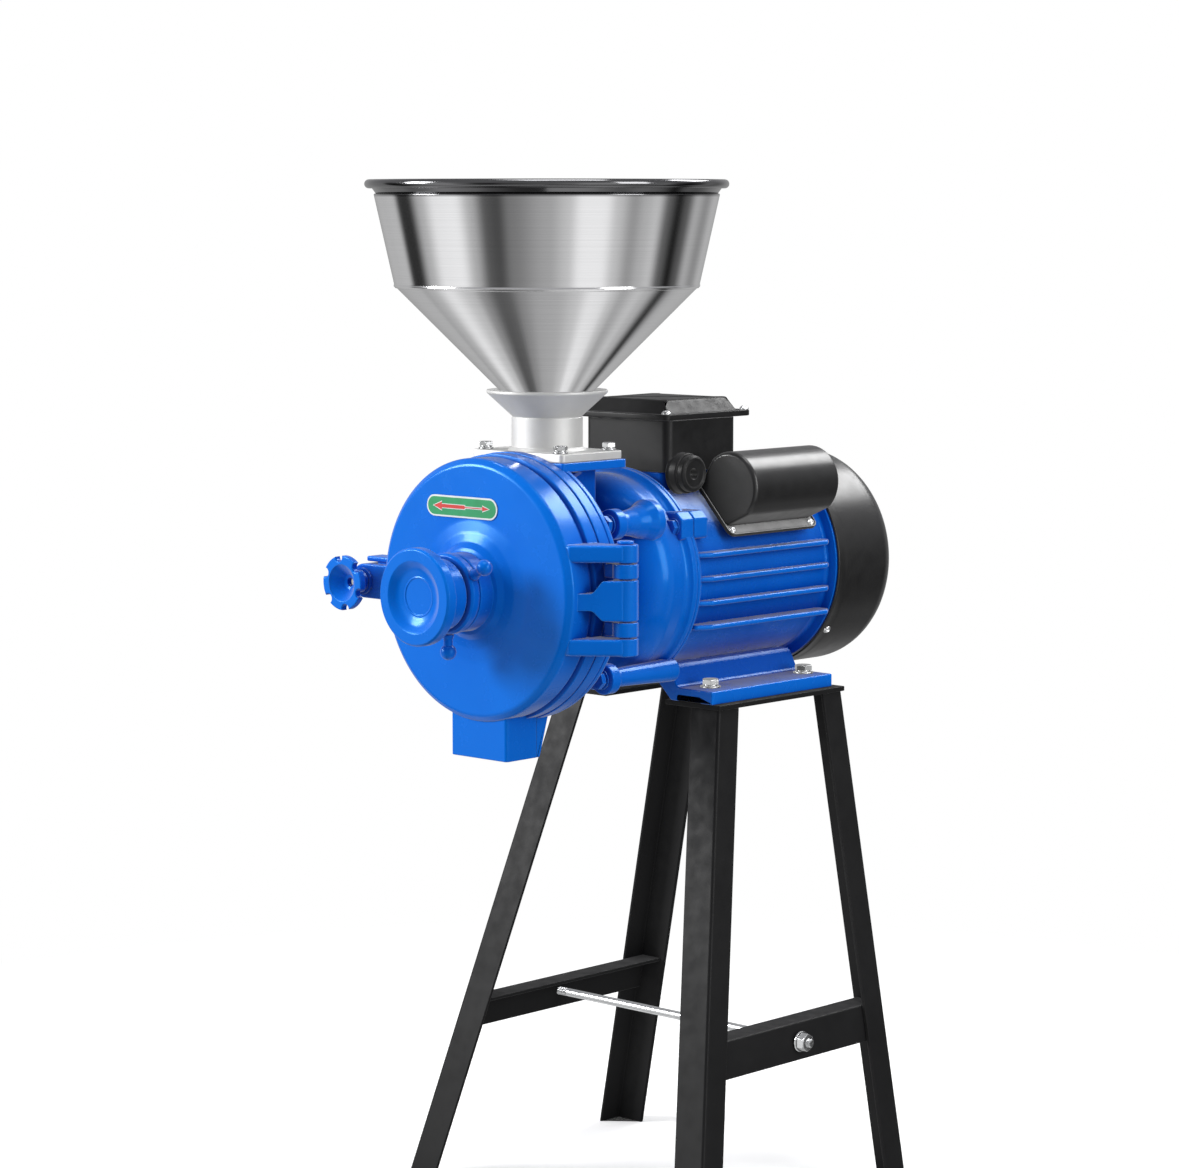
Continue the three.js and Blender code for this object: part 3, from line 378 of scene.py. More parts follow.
def soft_edges(tree, radius):
    """Normals rounded over this radius in mm, as where castings and folds meet."""
    node = add(tree, "Bevel")
    node.samples = 6
    node.inputs["Radius"].default_value = radius * MM
    return node.outputs["Normal"]


def painted_edge_highlight(tree, base, highlight_colour):
    """The base colour with a paler one along the edges: a painted highlight, standing for the light that edges
    catch.
    """
    dot = add(tree, "VectorMath")
    dot.operation = "DOT_PRODUCT"
    tree.links.new(soft_edges(tree, 0.8), dot.inputs[0])
    tree.links.new(add(tree, "NewGeometry").outputs["Normal"], dot.inputs[1])
    return mix(tree, remap(tree, dot.outputs["Value"], 0.72, 0.985, 1, 0), base, highlight_colour)


def openness(tree, reach):
    """1 out in the open and 0 deep in a recess, looking as far as reach in mm; the blue paint darkens by it as
    painted shade, and the paints dim their shine by it.
    """
    node = add(tree, "AmbientOcclusion")
    node.samples = 8
    node.inputs["Distance"].default_value = reach * MM
    return remap(tree, node.outputs["AO"], 0.25, 0.85, 0, 1)


def bump(tree, shader, layers, normal=None):
    """Chains bumps of (height socket, strength, depth in mm) onto the shader."""
    for height, strength, depth in layers:
        node = add(tree, "Bump")
        node.inputs["Strength"].default_value = strength
        node.inputs["Distance"].default_value = depth * MM
        tree.links.new(height, node.inputs["Height"])
        if normal is not None:
            tree.links.new(normal, node.inputs["Normal"])
        normal = node.outputs["Normal"]
    drive(tree, shader, Normal=normal)


def blue_paint():
    """Glossy enamel on castings: slight casting waves, faint orange peel, a painted highlight along the edges
    and painted shade in recesses.
    """
    made, tree, shader = material(
        "blue_enamel", (0.0003, 0.145, 0.76), 0.26, Coat_Weight=0.16, Coat_Roughness=0.08, IOR=1.6,
        Specular_IOR_Level=0.45, Specular_Tint=(0.05, 0.5, 1.0, 1.0))
    base = mix(tree, spread(tree, noise(tree, 14)), (0.0002, 0.150, 0.73), (0.0003, 0.170, 0.79))
    # painted shade: where the mill is closed in, the colour darkens to deep blue and the shine is turned down;
    # the edges get a painted highlight
    lit = openness(tree, 60)
    drive(tree, shader,
          Base_Color=mix(tree, lit, (0.0001, 0.055, 0.42), painted_edge_highlight(tree, base, (0.10, 0.42, 1.0))),
          Specular_IOR_Level=remap(tree, lit, 0, 1, 0.05, 0.45),
          Coat_Weight=remap(tree, lit, 0, 1, 0.0, 0.12),
          Roughness=spread(tree, noise(tree, 60), 0.2, 0.3))
    bump(tree, shader, [(noise(tree, 24, 1), 0.05, 0.5), (noise(tree, 520, 1), 0.02, 0.04)],
         soft_edges(tree, 1.0))
    return made


def black_paint(name, dull, gloss, coat):
    """Black paint on steel sheet: dull on the stand, glossy on the motor's housings."""
    made, tree, shader = material(name, (0.006, 0.006, 0.0065), dull, Coat_Roughness=0.22)
    lit = openness(tree, 50)
    base = mix(tree, spread(tree, noise(tree, 18)), (0.0045, 0.0045, 0.005), (0.008, 0.008, 0.0085))
    # painted highlight: a paler grey along the edges
    drive(tree, shader,
          Specular_IOR_Level=remap(tree, lit, 0, 1, 0.03, 0.22 + coat),
          Coat_Weight=remap(tree, lit, 0, 1, 0, coat),
          Base_Color=painted_edge_highlight(tree, base, (0.05, 0.05, 0.052)),
          Roughness=spread(tree, noise(tree, 90), gloss, dull))
    bump(tree, shader, [(noise(tree, 900, 1), 0.04, 0.05), (noise(tree, 30, 1), 0.04, 0.4)],
         soft_edges(tree, 0.7))
    return made


def black_plastic():
    """Moulded plastic with a fine grain."""
    made, tree, shader = material("black_plastic", (0.007, 0.007, 0.0075), 0.4, Specular_IOR_Level=0.3)
    base = mix(tree, spread(tree, noise(tree, 25)), (0.0055, 0.0055, 0.006), (0.010, 0.010, 0.0105))
    # painted highlight: a paler grey along the edges
    drive(tree, shader,
          Base_Color=painted_edge_highlight(tree, base, (0.04, 0.04, 0.042)), Roughness=spread(tree, noise(tree, 120), 0.36, 0.5))
    bump(tree, shader, [(noise(tree, 1400, 2), 0.25, 0.1)], soft_edges(tree, 0.8))
    return made


def stainless():
    """Spun and polished stainless sheet: faint rings round the axis, and painted shade and a painted dark
    reflection on the rolled rim and the band just under it.
    """
    made, tree, shader = material("spun_stainless", (0.80, 0.80, 0.81), 0.16, 1.0, Anisotropic=0.25)
    tangent = add(tree, "Tangent")
    tangent.direction_type, tangent.axis = "RADIAL", "Z"
    rings = noise(tree, 1, 3, (2, 2, 2200))
    base = mix(tree, spread(tree, rings), (0.77, 0.77, 0.78), (0.83, 0.83, 0.84))
    height = add(tree, "SeparateXYZ")
    tree.links.new(add(tree, "TexCoord").outputs["Object"], height.inputs["Vector"])
    # painted shade and painted dark reflection: the colour turns dark between 14 and 12 mm below the hopper's
    # top and stays dark above
    rim_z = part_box("hopper")[1].z - 14 * MM
    painted_rim_shade = remap(tree, height.outputs["Z"], rim_z, rim_z + 2 * MM, 0, 1)
    drive(tree, shader,
          Tangent=tangent.outputs["Tangent"],
          Base_Color=mix(tree, painted_rim_shade, base, (0.16, 0.16, 0.165)),
          Roughness=spread(tree, noise(tree, 9, 2), 0.09, 0.13))
    bump(tree, shader, [(rings, 0.02, 0.02)], soft_edges(tree, 0.6))
    return made


def ramp(tree, value, stops):
    node = add(tree, "ValToRGB")
    node.color_ramp.interpolation = "EASE"
    places = node.color_ramp.elements
    while len(places) < len(stops):
        places.new(0.5)
    for place, (position, grey) in zip(places, sorted(stops)):
        place.position = position
        place.color = (grey, grey, grey, 1)
    tree.links.new(value, node.inputs["Fac"])
    return node.outputs["Color"]


def aluminium():
    """Turned and bead-blasted aluminium."""
    made, tree, shader = material("cast_aluminium", (0.72, 0.72, 0.71), 0.56, 0.6)
    fine = noise(tree, 800, 3)
    drive(tree, shader,
          Base_Color=mix(tree, spread(tree, noise(tree, 30)), (0.66, 0.66, 0.65), (0.76, 0.76, 0.75)),
          Roughness=spread(tree, fine, 0.5, 0.62))
    bump(tree, shader, [(fine, 0.15, 0.08)], soft_edges(tree, 0.7))
    return made


def bright_metal(name, dark, light, rough, grain=400):
    """A plated or machined metal: two close tones, a roughness that drifts, and a fine grain."""
    made, tree, shader = material(name, light, rough, 1.0)
    fine = noise(tree, grain, 3)
    drive(tree, shader,
          Base_Color=mix(tree, spread(tree, noise(tree, 70)), dark, light),
          Roughness=spread(tree, fine, rough * 0.8, rough * 1.3))
    bump(tree, shader, [(fine, 0.15, 0.08)], soft_edges(tree, 0.4))
    return made


def windings():
    """Varnished copper wire: fine strands across the coil."""
    made, tree, shader = material("varnished_copper", (0.45, 0.16, 0.06), 0.35, 0.8)
    strands = noise(tree, 1, 2, (900, 40, 900))
    drive(tree, shader, Base_Color=mix(tree, spread(tree, strands), (0.28, 0.09, 0.03), (0.62, 0.26, 0.10)))
    bump(tree, shader, [(strands, 0.5, 0.4)])
    return made


def print_ink(name, dark, light):
    """Printed label film."""
    made, tree, shader = material(name, light, 0.35)
    drive(tree, shader, Base_Color=mix(tree, spread(tree, noise(tree, 90)), dark, light))
    bump(tree, shader, [(noise(tree, 600, 2), 0.08, 0.05)])
    return made


FINISHES = {
    "blue_paint": blue_paint(),
    "black_paint": black_paint("black_powder_coat", 0.56, 0.44, 0.0),
    "black_plastic": black_plastic(),
    "stainless": stainless(),
    "aluminium": aluminium(),
    "zinc": bright_metal("zinc_plate", (0.62, 0.63, 0.64), (0.78, 0.79, 0.80), 0.22),
    "iron": bright_metal("grey_iron", (0.10, 0.10, 0.10), (0.20, 0.20, 0.20), 0.45, 250),
    "steel": bright_metal("ground_steel", (0.42, 0.43, 0.44), (0.56, 0.57, 0.58), 0.26, 700),
    "windings": windings(),
    "label": print_ink("label_green", (0.010, 0.30, 0.10), (0.015, 0.36, 0.13)),
}
BLACK_GLOSS = black_paint("black_gloss_paint", 0.40, 0.32, 0.35)
INK_WHITE = print_ink("label_white", (0.74, 0.80, 0.76), (0.84, 0.88, 0.85))
INK_RED = print_ink("label_red", (0.62, 0.035, 0.03), (0.74, 0.055, 0.04))
SLOT_OF = {part["node"]: part["material_slot"] for part in frame["record"]["subparts"]}


def piece(name, made, slot, rides_with, replaces=True, finish=None, sharp=32):
    """A finished object in the row frame that rides with a CAD node's body and may stand for the node."""
    mesh = bpy.data.meshes.new(name)
    mesh.from_pydata((made[0] * MM + ORIGIN).tolist(), [], made[1])
    mesh.update()
    mesh.shade_smooth()
    mesh.set_sharp_from_angle(angle=math.radians(sharp))
    mesh.materials.append(finish or FINISHES[slot])
    body = bpy.data.objects.new(name, mesh)
    bpy.context.scene.collection.objects.link(body)
    body.visible_glossy = slot == "stainless"
    weighted = body.modifiers.new("flat_faces", "WEIGHTED_NORMAL")
    weighted.keep_sharp = True
    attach(body, frame["nodes"][rides_with]["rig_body"])
    if replaces:
        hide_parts(rides_with)


def looks(node, made, **settings):
    """The finished object that stands for a CAD node, in the node's own slot."""
    piece(f"{node}_looks", made, SLOT_OF[node], node, **settings)


# ---------- fasteners ----------

M6_HOLE, M8_HOLE = 3.3, 4.4            # radii
PITCH, THREAD_DEPTH = 1.25, 0.35


def hex_head(across, height, chamfer=0.13):
    """A hexagon standing on z = 0 with its upper corners turned off."""
    corner = across / math.sqrt(3)
    cap = lathe([
        (0, -1), (corner + 1, -1), (corner + 1, height - across * chamfer * 0.6 - 0.5),
        (across / 2 * 0.93, height), (0, height)], "Z", (0, 0), 48)
    return common(prism(arc(0, 0, corner, 0, 300, 5), 0, height), cap)


def washer(inner, outer, thickness):
    profile = [(inner, 0), (outer, 0, 0.3), (outer, thickness, 0.3), (inner, thickness)]
    return lathe(profile, "Z", (0, 0), 48, 2)


def hex_bolt(shank, length, across, head, washer_r):
    """A hex bolt along -Z: washer with its underside at z = 0, spring washer, head and a threaded shank."""
    turns = int(length / PITCH)
    thread = [(shank - THREAD_DEPTH * (k % 2), -length + length * k / (2 * turns)) for k in range(2 * turns)]
    body = lathe([(0, -length), *thread, (shank, 0.2), (shank, 1.5), (0, 1.5)], "Z", (0, 0), SMALL)
    return together(
        washer(shank + 0.2, washer_r, 1.2),
        moved(washer(shank + 0.2, across * 0.47, 1.3), z=1.25),
        moved(hex_head(across, head), z=2.6), body)


def dome_screw(head_r, height, length=4.0):
    """A pan-head cross-recess screw along -Z with its head's underside at z = 0."""
    head = lathe([
        (0, -length), (head_r * 0.45, -length, 0.2), (head_r * 0.45, 0), (head_r, 0, 0.2),
        (head_r, height * 0.35, 0.4), (head_r * 0.62, height * 0.9, 1.5), (0, height)], "Z", (0, 0), 40, arcs=4)
    slot, reach = head_r * 0.14, head_r * 0.55
    blades = [block((-reach, -slot, height * 0.35), (reach, slot, height + 1)),
              block((-slot, -reach, height * 0.35), (slot, reach, height + 1))]
    return cut(head, *blades)


# ---------- stand ----------

FOOT_BOTTOM = -102.5
STRIP = {"inner": 33, "outer": 92, "front": 184, "rear": 346, "thickness": 4, "top": FOOT_BOTTOM - GAP}
LEG = {"x": 90, "front": 186, "rear": 344, "wide": 30, "narrow": 25, "thickness": 3,
       "splay_x": 0.182, "splay_y": 0.26}
BAR = {"top": -366, "height": 30, "flange": 22, "thickness": 3, "rod_r": 3.5}
NUT = {"across": 13, "height": 6.5, "washer_r": 8.5}
LEG_TOP = STRIP["top"] - STRIP["thickness"] - GAP
ROD_Z = BAR["top"] - BAR["height"] / 2
ROD_Y = 234


def sheared(made, x_per_z, y_per_z):
    """The shape leaned over about z = 0."""
    points = made[0].copy()
    points[:, 0] += x_per_z * points[:, 2]
    points[:, 1] += y_per_z * points[:, 2]
    return points, made[1]


def angle_iron(wide, narrow, thickness, radius=2.6):
    """An angle section with its outer corner at the origin; wide runs along a, narrow along b, either sign."""
    a, b = math.copysign(1, wide), math.copysign(1, narrow)
    return rounded([
        (0, 0, radius), (wide, 0, 0.5), (wide, b * thickness, 1.2), (a * thickness, b * thickness, 2.2),
        (a * thickness, narrow, 1.2), (0, narrow, 0.5)])


def stand(word, side):
    inner, outer = sorted((STRIP["inner"] * side, STRIP["outer"] * side))
    underside = STRIP["top"] - STRIP["thickness"]
    looks(f"top_strip_{word}",
          block((inner, STRIP["front"], underside), (outer, STRIP["rear"], STRIP["top"]), 1.5, 0.6))
    for place, inward, splay in (("front", 1, LEG["splay_y"]), ("rear", -1, 0)):
        section = angle_iron(-side * LEG["wide"], inward * LEG["narrow"], LEG["thickness"])
        leg = prism(section, FLOOR_Z - LEG_TOP, 0, "Z", 0.5, steps=2)
        leg = moved(sheared(leg, -side * LEG["splay_x"], splay), side * LEG["x"], LEG[place], LEG_TOP)
        looks(f"leg_{place}_{word}", leg)
    crossbar(word, side)


def leg_x(z):
    """How far out the legs' inner face is at a height."""
    return LEG["x"] + LEG["splay_x"] * (LEG_TOP - z) - LEG["thickness"] - GAP


def crossbar(word, side):
    top, t = BAR["top"], BAR["thickness"]
    bottom, tip = top - BAR["height"], leg_x(top) - BAR["flange"]
    outline = [(side * x, z, radius) for x, z, radius in (
        (leg_x(top), top, 2.0), (tip, top, 0.5), (tip, top - t, 1.2), (leg_x(top - t) - t, top - t, 2.0),
        (leg_x(bottom) - t, bottom, 1.2), (leg_x(bottom), bottom, 0.5))]
    front = LEG["front"] - LEG["splay_y"] * (LEG_TOP - top) + LEG["thickness"] + GAP + 1
    rear = LEG["rear"] - LEG["thickness"] - GAP
    middle = leg_x(ROD_Z) * side
    hole = rod(BAR["rod_r"] + GAP, middle - 30, middle + 30, "X", (ROD_Y, ROD_Z))
    looks(f"crossbar_{word}", cut(prism(outline, front, rear, "Y", 0.4, steps=2), hole))


NUT_SEAT = leg_x(ROD_Z) + LEG["splay_x"] * NUT["washer_r"] + GAP


def tie_rod():
    end, threaded = NUT_SEAT + NUT["height"] + 5, 26
    thread = [(BAR["rod_r"] - THREAD_DEPTH * (k % 2), end - 0.8 - k * PITCH / 2)
              for k in range(2 * int(threaded / PITCH))]
    right = [(BAR["rod_r"] - 0.8, end), *thread, (BAR["rod_r"], end - threaded - 1)]
    left = [(r, -x) for r, x in reversed(right)]
    looks("tie_rod", lathe([(0, end), *right, *left, (0, -end)], "X", (ROD_Y, ROD_Z), SMALL))
    bore = rod(BAR["rod_r"] + 0.1, -5, 20, "Z")
    ring = cut(washer(1, NUT["washer_r"], 1.5), bore)
    hexagon = cut(moved(hex_head(NUT["across"], NUT["height"]), z=1.55), bore)
    for word, side in SIDES:
        nut = turned(together(ring, hexagon), "Y", 90 * side)
        looks(f"tie_rod_nut_{word}", moved(nut, side * NUT_SEAT, ROD_Y, ROD_Z))


# ---------- mill door ----------

DOOR_FRONT, DOOR_DEPTH, PARTING = -5.0, 33.7, 34.0
CHUTE_HALF, CHUTE_TOP, CHUTE_BOTTOM = 31.0, -94.0, -134.0
HINGE_X, HINGE_Y, BARREL_R, PIN_R = 125.0, 35.0, 10.0, 5.0
LATCH_X, LATCH_Z, LUG_R, BOLT_R = -142.0, -4.0, 14.0, 5.0
CAVITY_R, CAVITY_FRONT = 88.0, 1.0
SPINDLE_BORE, SHAFT_BORE, SCREW_BORE = 8.3, 16.3, 26.5                # radii
CHUTE_WALL = 3.5


def barrel(low, high):
    profile = [(0, low), (BARREL_R, low, 0.9), (BARREL_R, high, 0.9), (0, high)]
    return lathe(profile, "Z", (HINGE_X, HINGE_Y), arcs=4)


def lug(front, rear, edge=1.2):
    """A latch ear: a round end on a tongue from the rim."""
    outline = arc(LATCH_X, LATCH_Z, LUG_R, 90, 270, 24) + [(-94, LATCH_Z - LUG_R), (-94, LATCH_Z + LUG_R)]
    return prism(outline, front, rear, "Y", edge)


def pin_hole():
    return rod(PIN_R + GAP, -60, 60, "Z", (HINGE_X, HINGE_Y))


def door():
    shell = spun([
        (SPINDLE_BORE, -28, 0.6), (31, -28, 1.6), (31, -14.4, 0.8), (34.2, -13.2, 1.2), (38.5, -9.6, 4),
        (46, -6.8, 14), (57, DOOR_FRONT, 30), (99, DOOR_FRONT, 5.5), (104, -1, 3.5), (104, 18.5, 0.7),
        (101.7, 19, 0.4), (101.7, 21.9, 0.4), (106, 22.3, 1.0), (106, DOOR_DEPTH, 0.7),
        (CAVITY_R, DOOR_DEPTH, 0.4), (CAVITY_R, CAVITY_FRONT, 4), (SHAFT_BORE, CAVITY_FRONT, 0.6),
        (SHAFT_BORE, -14, 0.5), (SPINDLE_BORE, -14)], 6)
    chute_plan = [
        (-CHUTE_HALF, 0, 3), (CHUTE_HALF, 0, 3), (CHUTE_HALF, DOOR_DEPTH), (-CHUTE_HALF, DOOR_DEPTH)]
    chute = prism(chute_plan, CHUTE_BOTTOM, CHUTE_TOP, "Z", edges=(0.8, 0))
    arm_rear = DOOR_DEPTH - 0.2
    plan = [
        (88, -0.5), (99, -0.5, 3), (131, 26.5, 3), (125, 41, 3), (109, arm_rear, 2), (88, arm_rear)]
    upper = join(prism(plan, 28.4, 41.8, "Z", 2.4, steps=4), barrel(28.2, 42))
    lower = join(prism(plan, -43.8, -30.8, "Z", 2.4, steps=4), barrel(-44, -30.6))
    elevation = [
        (80, -8.5), (112.5, -8.5, 4), (118.5, -16.7, 2), (140, -16.7), (140, 14.4), (118.5, 14.4, 2),
        (112.5, 4.5, 4), (80, 4.5)]
    middle = common(prism(plan, -16.8, 14.5, "Z", 1.6), prism(elevation, -10, 60, "Y"))
    middle = join(middle, barrel(-16.9, 14.6))
    rib = block((LATCH_X - 2, 16, 11.6), (-94, DOOR_DEPTH, 15.8), 1.2, 1.2, "X")
    rib_foot = block((LATCH_X + 10, 17, 6), (-95, DOOR_DEPTH, 13), 1, 0.6, "X")
    inside = CHUTE_HALF - CHUTE_WALL
    hollow = prism(box_outline(-inside, CHUTE_WALL, inside, 60, 1.5), -150, -80)
    bolt_hole = rod(BOLT_R + 0.6, 0, 60, "Y", (LATCH_X, LATCH_Z))
    pin_relief = rod(7.5, 42, 60, "Z", (HINGE_X, HINGE_Y))
    cavity = rod(CAVITY_R - 0.1, CAVITY_FRONT + 0.1, 60, steps=FINE)
    body = join(shell, chute, upper, middle, lower, lug(10.3, DOOR_DEPTH), rib, rib_foot)
    return cut(body, hollow, bolt_hole, pin_hole(), pin_relief, cavity)


def hinge_pin():
    profile = [(0, -45), (PIN_R, -45, 0.8), (PIN_R, 42.3), (6.5, 42.3, 0.3), (6.5, 44.8, 0.9), (0, 44.8)]
    return lathe(profile, "Z", (HINGE_X, HINGE_Y), arcs=4)


LABEL_X, LABEL_Z = -12, 65


def capsule(half_length, half_height):
    right = arc(LABEL_X + half_length - half_height, LABEL_Z, half_height, -90, 90, 16)
    left = arc(LABEL_X - half_length + half_height, LABEL_Z, half_height, 90, 270, 16)
    return right + left


def arrow(tail, tip, shaft, head, length, grow=0.0):
    """An arrow outline along X from tail to tip."""
    way = math.copysign(1, tip - tail)
    neck = tip - way * length
    half, wide = shaft / 2 + grow, head / 2 + grow * 1.6
    return [(LABEL_X + x, LABEL_Z + z) for x, z in [
        (tail - way * grow, -half), (neck, -half), (neck - way * grow * 0.4, -wide), (tip + way * grow * 2.2, 0),
        (neck - way * grow * 0.4, wide), (neck, half), (tail - way * grow, half)]]


def label():
    """A raised capsule with a broad arrow one way and a thin arrow the other, coarse and fine."""
    back = DOOR_FRONT - GAP

    def layer(name, outline, front, rear, finish=None, replaces=False):
        piece(f"label_{name}", prism(outline, back - front, back - rear, "Y",
                                     edges=(0.15 if replaces else 0, 0)),
              "label", "label_plate", replaces, finish)

    layer("border", capsule(39, 8.5), 0.5, 0, INK_WHITE, True)
    layer("field", capsule(37.6, 7.1), 0.6, 0.2)
    for name, lift, *size in (("broad", 0.70, 3.5, -31, 2.8, 6.4, 9), ("thin", 0.68, 3.5, 30, 0.8, 3.8, 7)):
        layer(f"{name}_outline", arrow(*size, grow=0.55), lift, 0.3, INK_WHITE)
        layer(f"{name}_arrow", arrow(*size), 0.79, 0.4, INK_RED)


# ---------- mill casing ----------

HOPPER_Y = 79.0
SEAT_TOP = 99.7
NECK_BOLTS = [(sx * 41, HOPPER_Y + sy * 28) for sx in (-1, 1) for sy in (-1, 1)]
EAR_POINTS = [(side * x, z) for _, side in SIDES for x, z in ((64, 50), (57, -74))]
EAR_FRONT, EAR_REAR = 82, 92
FOOT_POINTS = [(side * 66, y) for _, side in SIDES for y in (203, 322)]


def casing():
    drum = spun([
        (SCREW_BORE, 49), (92, 49, 3), (92, PARTING, 0.4), (107, PARTING, 0.7), (107, 44.2, 0.6),
        (105.6, 44.8, 0.3), (105.6, 46, 0.3), (106.6, 46.6, 0.5), (106.6, 51, 4), (102, 55, 2),
        (SCREW_BORE, 55)], 6)
    throat = block((-32, 50, 0), (32, 103, 93), 3)
    screw_barrel = spun([(0, 50), (34, 50), (34, 103, 2), (0, 103)])
    seat = prism([(-51.5, 42.8, 2), (51.5, 42.8, 2), (51.5, 118, 4), (-51.5, 118, 4)],
                 SEAT_TOP - 7, SEAT_TOP, "Z", 1.0)
    web = prism([(-50, 60), (50, 60), (50, 95), (-50, 95)], 42.9, 54.5, "Y", 0.8)
    gussets = [prism([(32 * side, 70), (36 * side, 84, 6), (48 * side, 91.5), (30 * side, 92)],
                     62, 70, "Y", 1.2) for _, side in SIDES]
    lower_arms = [(-57, -83), (57, -83), (57, -65, 3), (20, -18), (-20, -18), (-57, -65, 3)]
    arms = [prism(outline, EAR_FRONT, EAR_REAR, "Y", 1.2)
            for outline in (box_outline(-64, 41, 64, 59, 2), lower_arms)]
    ear = [(0, EAR_FRONT), (12.25, EAR_FRONT, 1.2), (12.25, EAR_REAR, 1.2), (0, EAR_REAR)]
    ears = [lathe(ear, "Y", point) for point in EAR_POINTS]
    plan = [
        (96, PARTING + 1), (96, 52), (112, 50, 4), (125, 44, 2), (125, 28), (109.5, 28), (109.5, PARTING + 1)]
    knuckles = [join(prism(plan, low + 0.1, high - 0.1, "Z", 1.2), barrel(low, high))
                for low, high in ((15.8, 27), (-29.4, -18.1))]
    chute = prism([
        (PARTING, CHUTE_TOP), (PARTING, CHUTE_BOTTOM, 0.6), (38, CHUTE_BOTTOM, 1.5), (50, CHUTE_TOP)],
        -CHUTE_HALF, CHUTE_HALF, "X", 1.2)
    body = join(drum, throat, screw_barrel, seat, web, *gussets, *arms, *ears, *knuckles, chute,
                lug(PARTING, 52))
    relief = block((-70, 42.7, SEAT_TOP + 0.001), (70, 56, 125))
    screw_bore = rod(SCREW_BORE, 20, 97, steps=ROUND)
    inlet = block((-25.5, 57, 0), (25.5, 97, 110), 2)
    shaft_hole = rod(SHAFT_BORE, 55, 110)
    inside = CHUTE_HALF - CHUTE_WALL
    hollow = prism([(20, -85), (20, -139), (34.5, -139), (44, -85)], -inside, inside, "X")
    receiver = rod(BOLT_R + 1.6, 20, 60, "Y", (LATCH_X, LATCH_Z))
    holes = [rod(M8_HOLE, 75, 100, "Y", point, steps=24) for point in EAR_POINTS]
    holes += [rod(M6_HOLE, 60, 120, "Z", point, steps=24) for point in NECK_BOLTS]
    return cut(body, relief, screw_bore, inlet, shaft_hole, pin_hole(), receiver, hollow, *holes)


# ---------- neck and hopper ----------

NECK_BORE = 25.5
RIM_Z, RIM_R, ROLL_R, SHEET = 317.5, 141.0, 3.55, 1.2
SEAM_R, SEAM_Z, WALL_TOP_R, SPOUT_R, CONE_BOTTOM = 121.0, 237.0, 138.5, 24.5, 140.5


def neck():
    flange = block((-50, HOPPER_Y - 35.5, SEAT_TOP + GAP), (50, HOPPER_Y + 35.5, 106.5), 4, 0.7)
    funnel = rounded([
        (NECK_BORE, SEAT_TOP + 1), (28.5, SEAT_TOP + 1), (28.5, 108), (28.5, 132.6, 0.3), (27.9, 133.2, 0.2),
        (28.5, 134, 0.3), (48.5, 152.4, 1.2), (48.5, 154.5, 0.5), (39.4, 154.5, 0.8), (NECK_BORE, 140.6, 4)], 5)
    fillet = rounded([(27, 104), (31.5, 104), (31.5, 106.5), (28.5, 109.5, 3), (27, 109.5)], 6)
    body = join(flange, *[lathe(profile, "Z", (0, HOPPER_Y), FINE) for profile in (fillet, funnel)])
    bore = rod(NECK_BORE, 90, 134, "Z", (0, HOPPER_Y), steps=FINE)
    return cut(body, bore, *[rod(M6_HOLE, 90, 115, "Z", point, steps=24) for point in NECK_BOLTS])


def hopper():
    """One sheet: spout, cone, pressed seam, upper wall and a rolled rim."""
    roll = arc(RIM_R, RIM_Z, ROLL_R, -125, 165, 22)
    outer = rounded([
        (SPOUT_R, 120, 0.3), (SPOUT_R, CONE_BOTTOM, 3), (SEAM_R - 1.6, SEAM_Z - 1.6, 0.8),
        (SEAM_R - 0.4, SEAM_Z - 1.5, 0.3), (SEAM_R + 0.9, SEAM_Z, 0.7), (SEAM_R + 0.5, SEAM_Z + 1.6, 0.6),
        (WALL_TOP_R, RIM_Z - 2.5, 1)], 4)
    inner = rounded([
        (WALL_TOP_R - SHEET, RIM_Z + 0.5, 1), (SEAM_R - SHEET, SEAM_Z + 0.5, 3),
        (SPOUT_R - SHEET, CONE_BOTTOM + 0.5, 3), (SPOUT_R - SHEET, 120)], 5)
    return lathe([*outer, *roll, *inner], "Z", (0, HOPPER_Y), 224)


# ---------- discs, adjuster and latch ----------

LEVER_ANGLES = (-90, 30, 150)
RING_MIDDLE = -33.15


def grinding_disc(profile, face_y, inner):
    """A disc whose grinding face has twelve sectors of slanted grooves."""
    grooves = []
    for k in range(12):
        for shift in (-4.5, 0, 4.5):
            groove = block((inner, face_y - 1.2, shift - 0.9), (78, face_y + 1.2, shift + 0.9))
            grooves.append(turned(groove, "Y", 30 * k + 6))
    return cut(spun(profile, 3), *grooves)


def fixed_disc():
    return grinding_disc([(22, 20.3, 0.5), (75, 20.3, 0.8), (75, 30.8, 0.6), (22, 30.8, 1.5)], 30.8, 40)


def moving_disc():
    rim = grinding_disc([(40, 32, 1.5), (75, 32, 0.6), (75, 41, 0.8), (40, 41, 0.5)], 32, 44)
    hub = lathe([(10.3, 32, 0.5), (17, 32, 1), (17, 41, 1), (10.3, 41, 0.5)])
    bore = rod(12, 20, 60)
    spokes = [turned(block((14, 34, -6), (45, 40.6, 6), 2, 0.8, "X"), "Y", -angle) for angle in (90, 210, 330)]
    return join(rim, hub, *[cut(spoke, bore) for spoke in spokes])


def disc_carrier():
    return spun([(0, -8), (16, -8, 0.8), (16, 12, 2), (72, 12, 0.8), (72, 20, 0.8), (0, 20)])


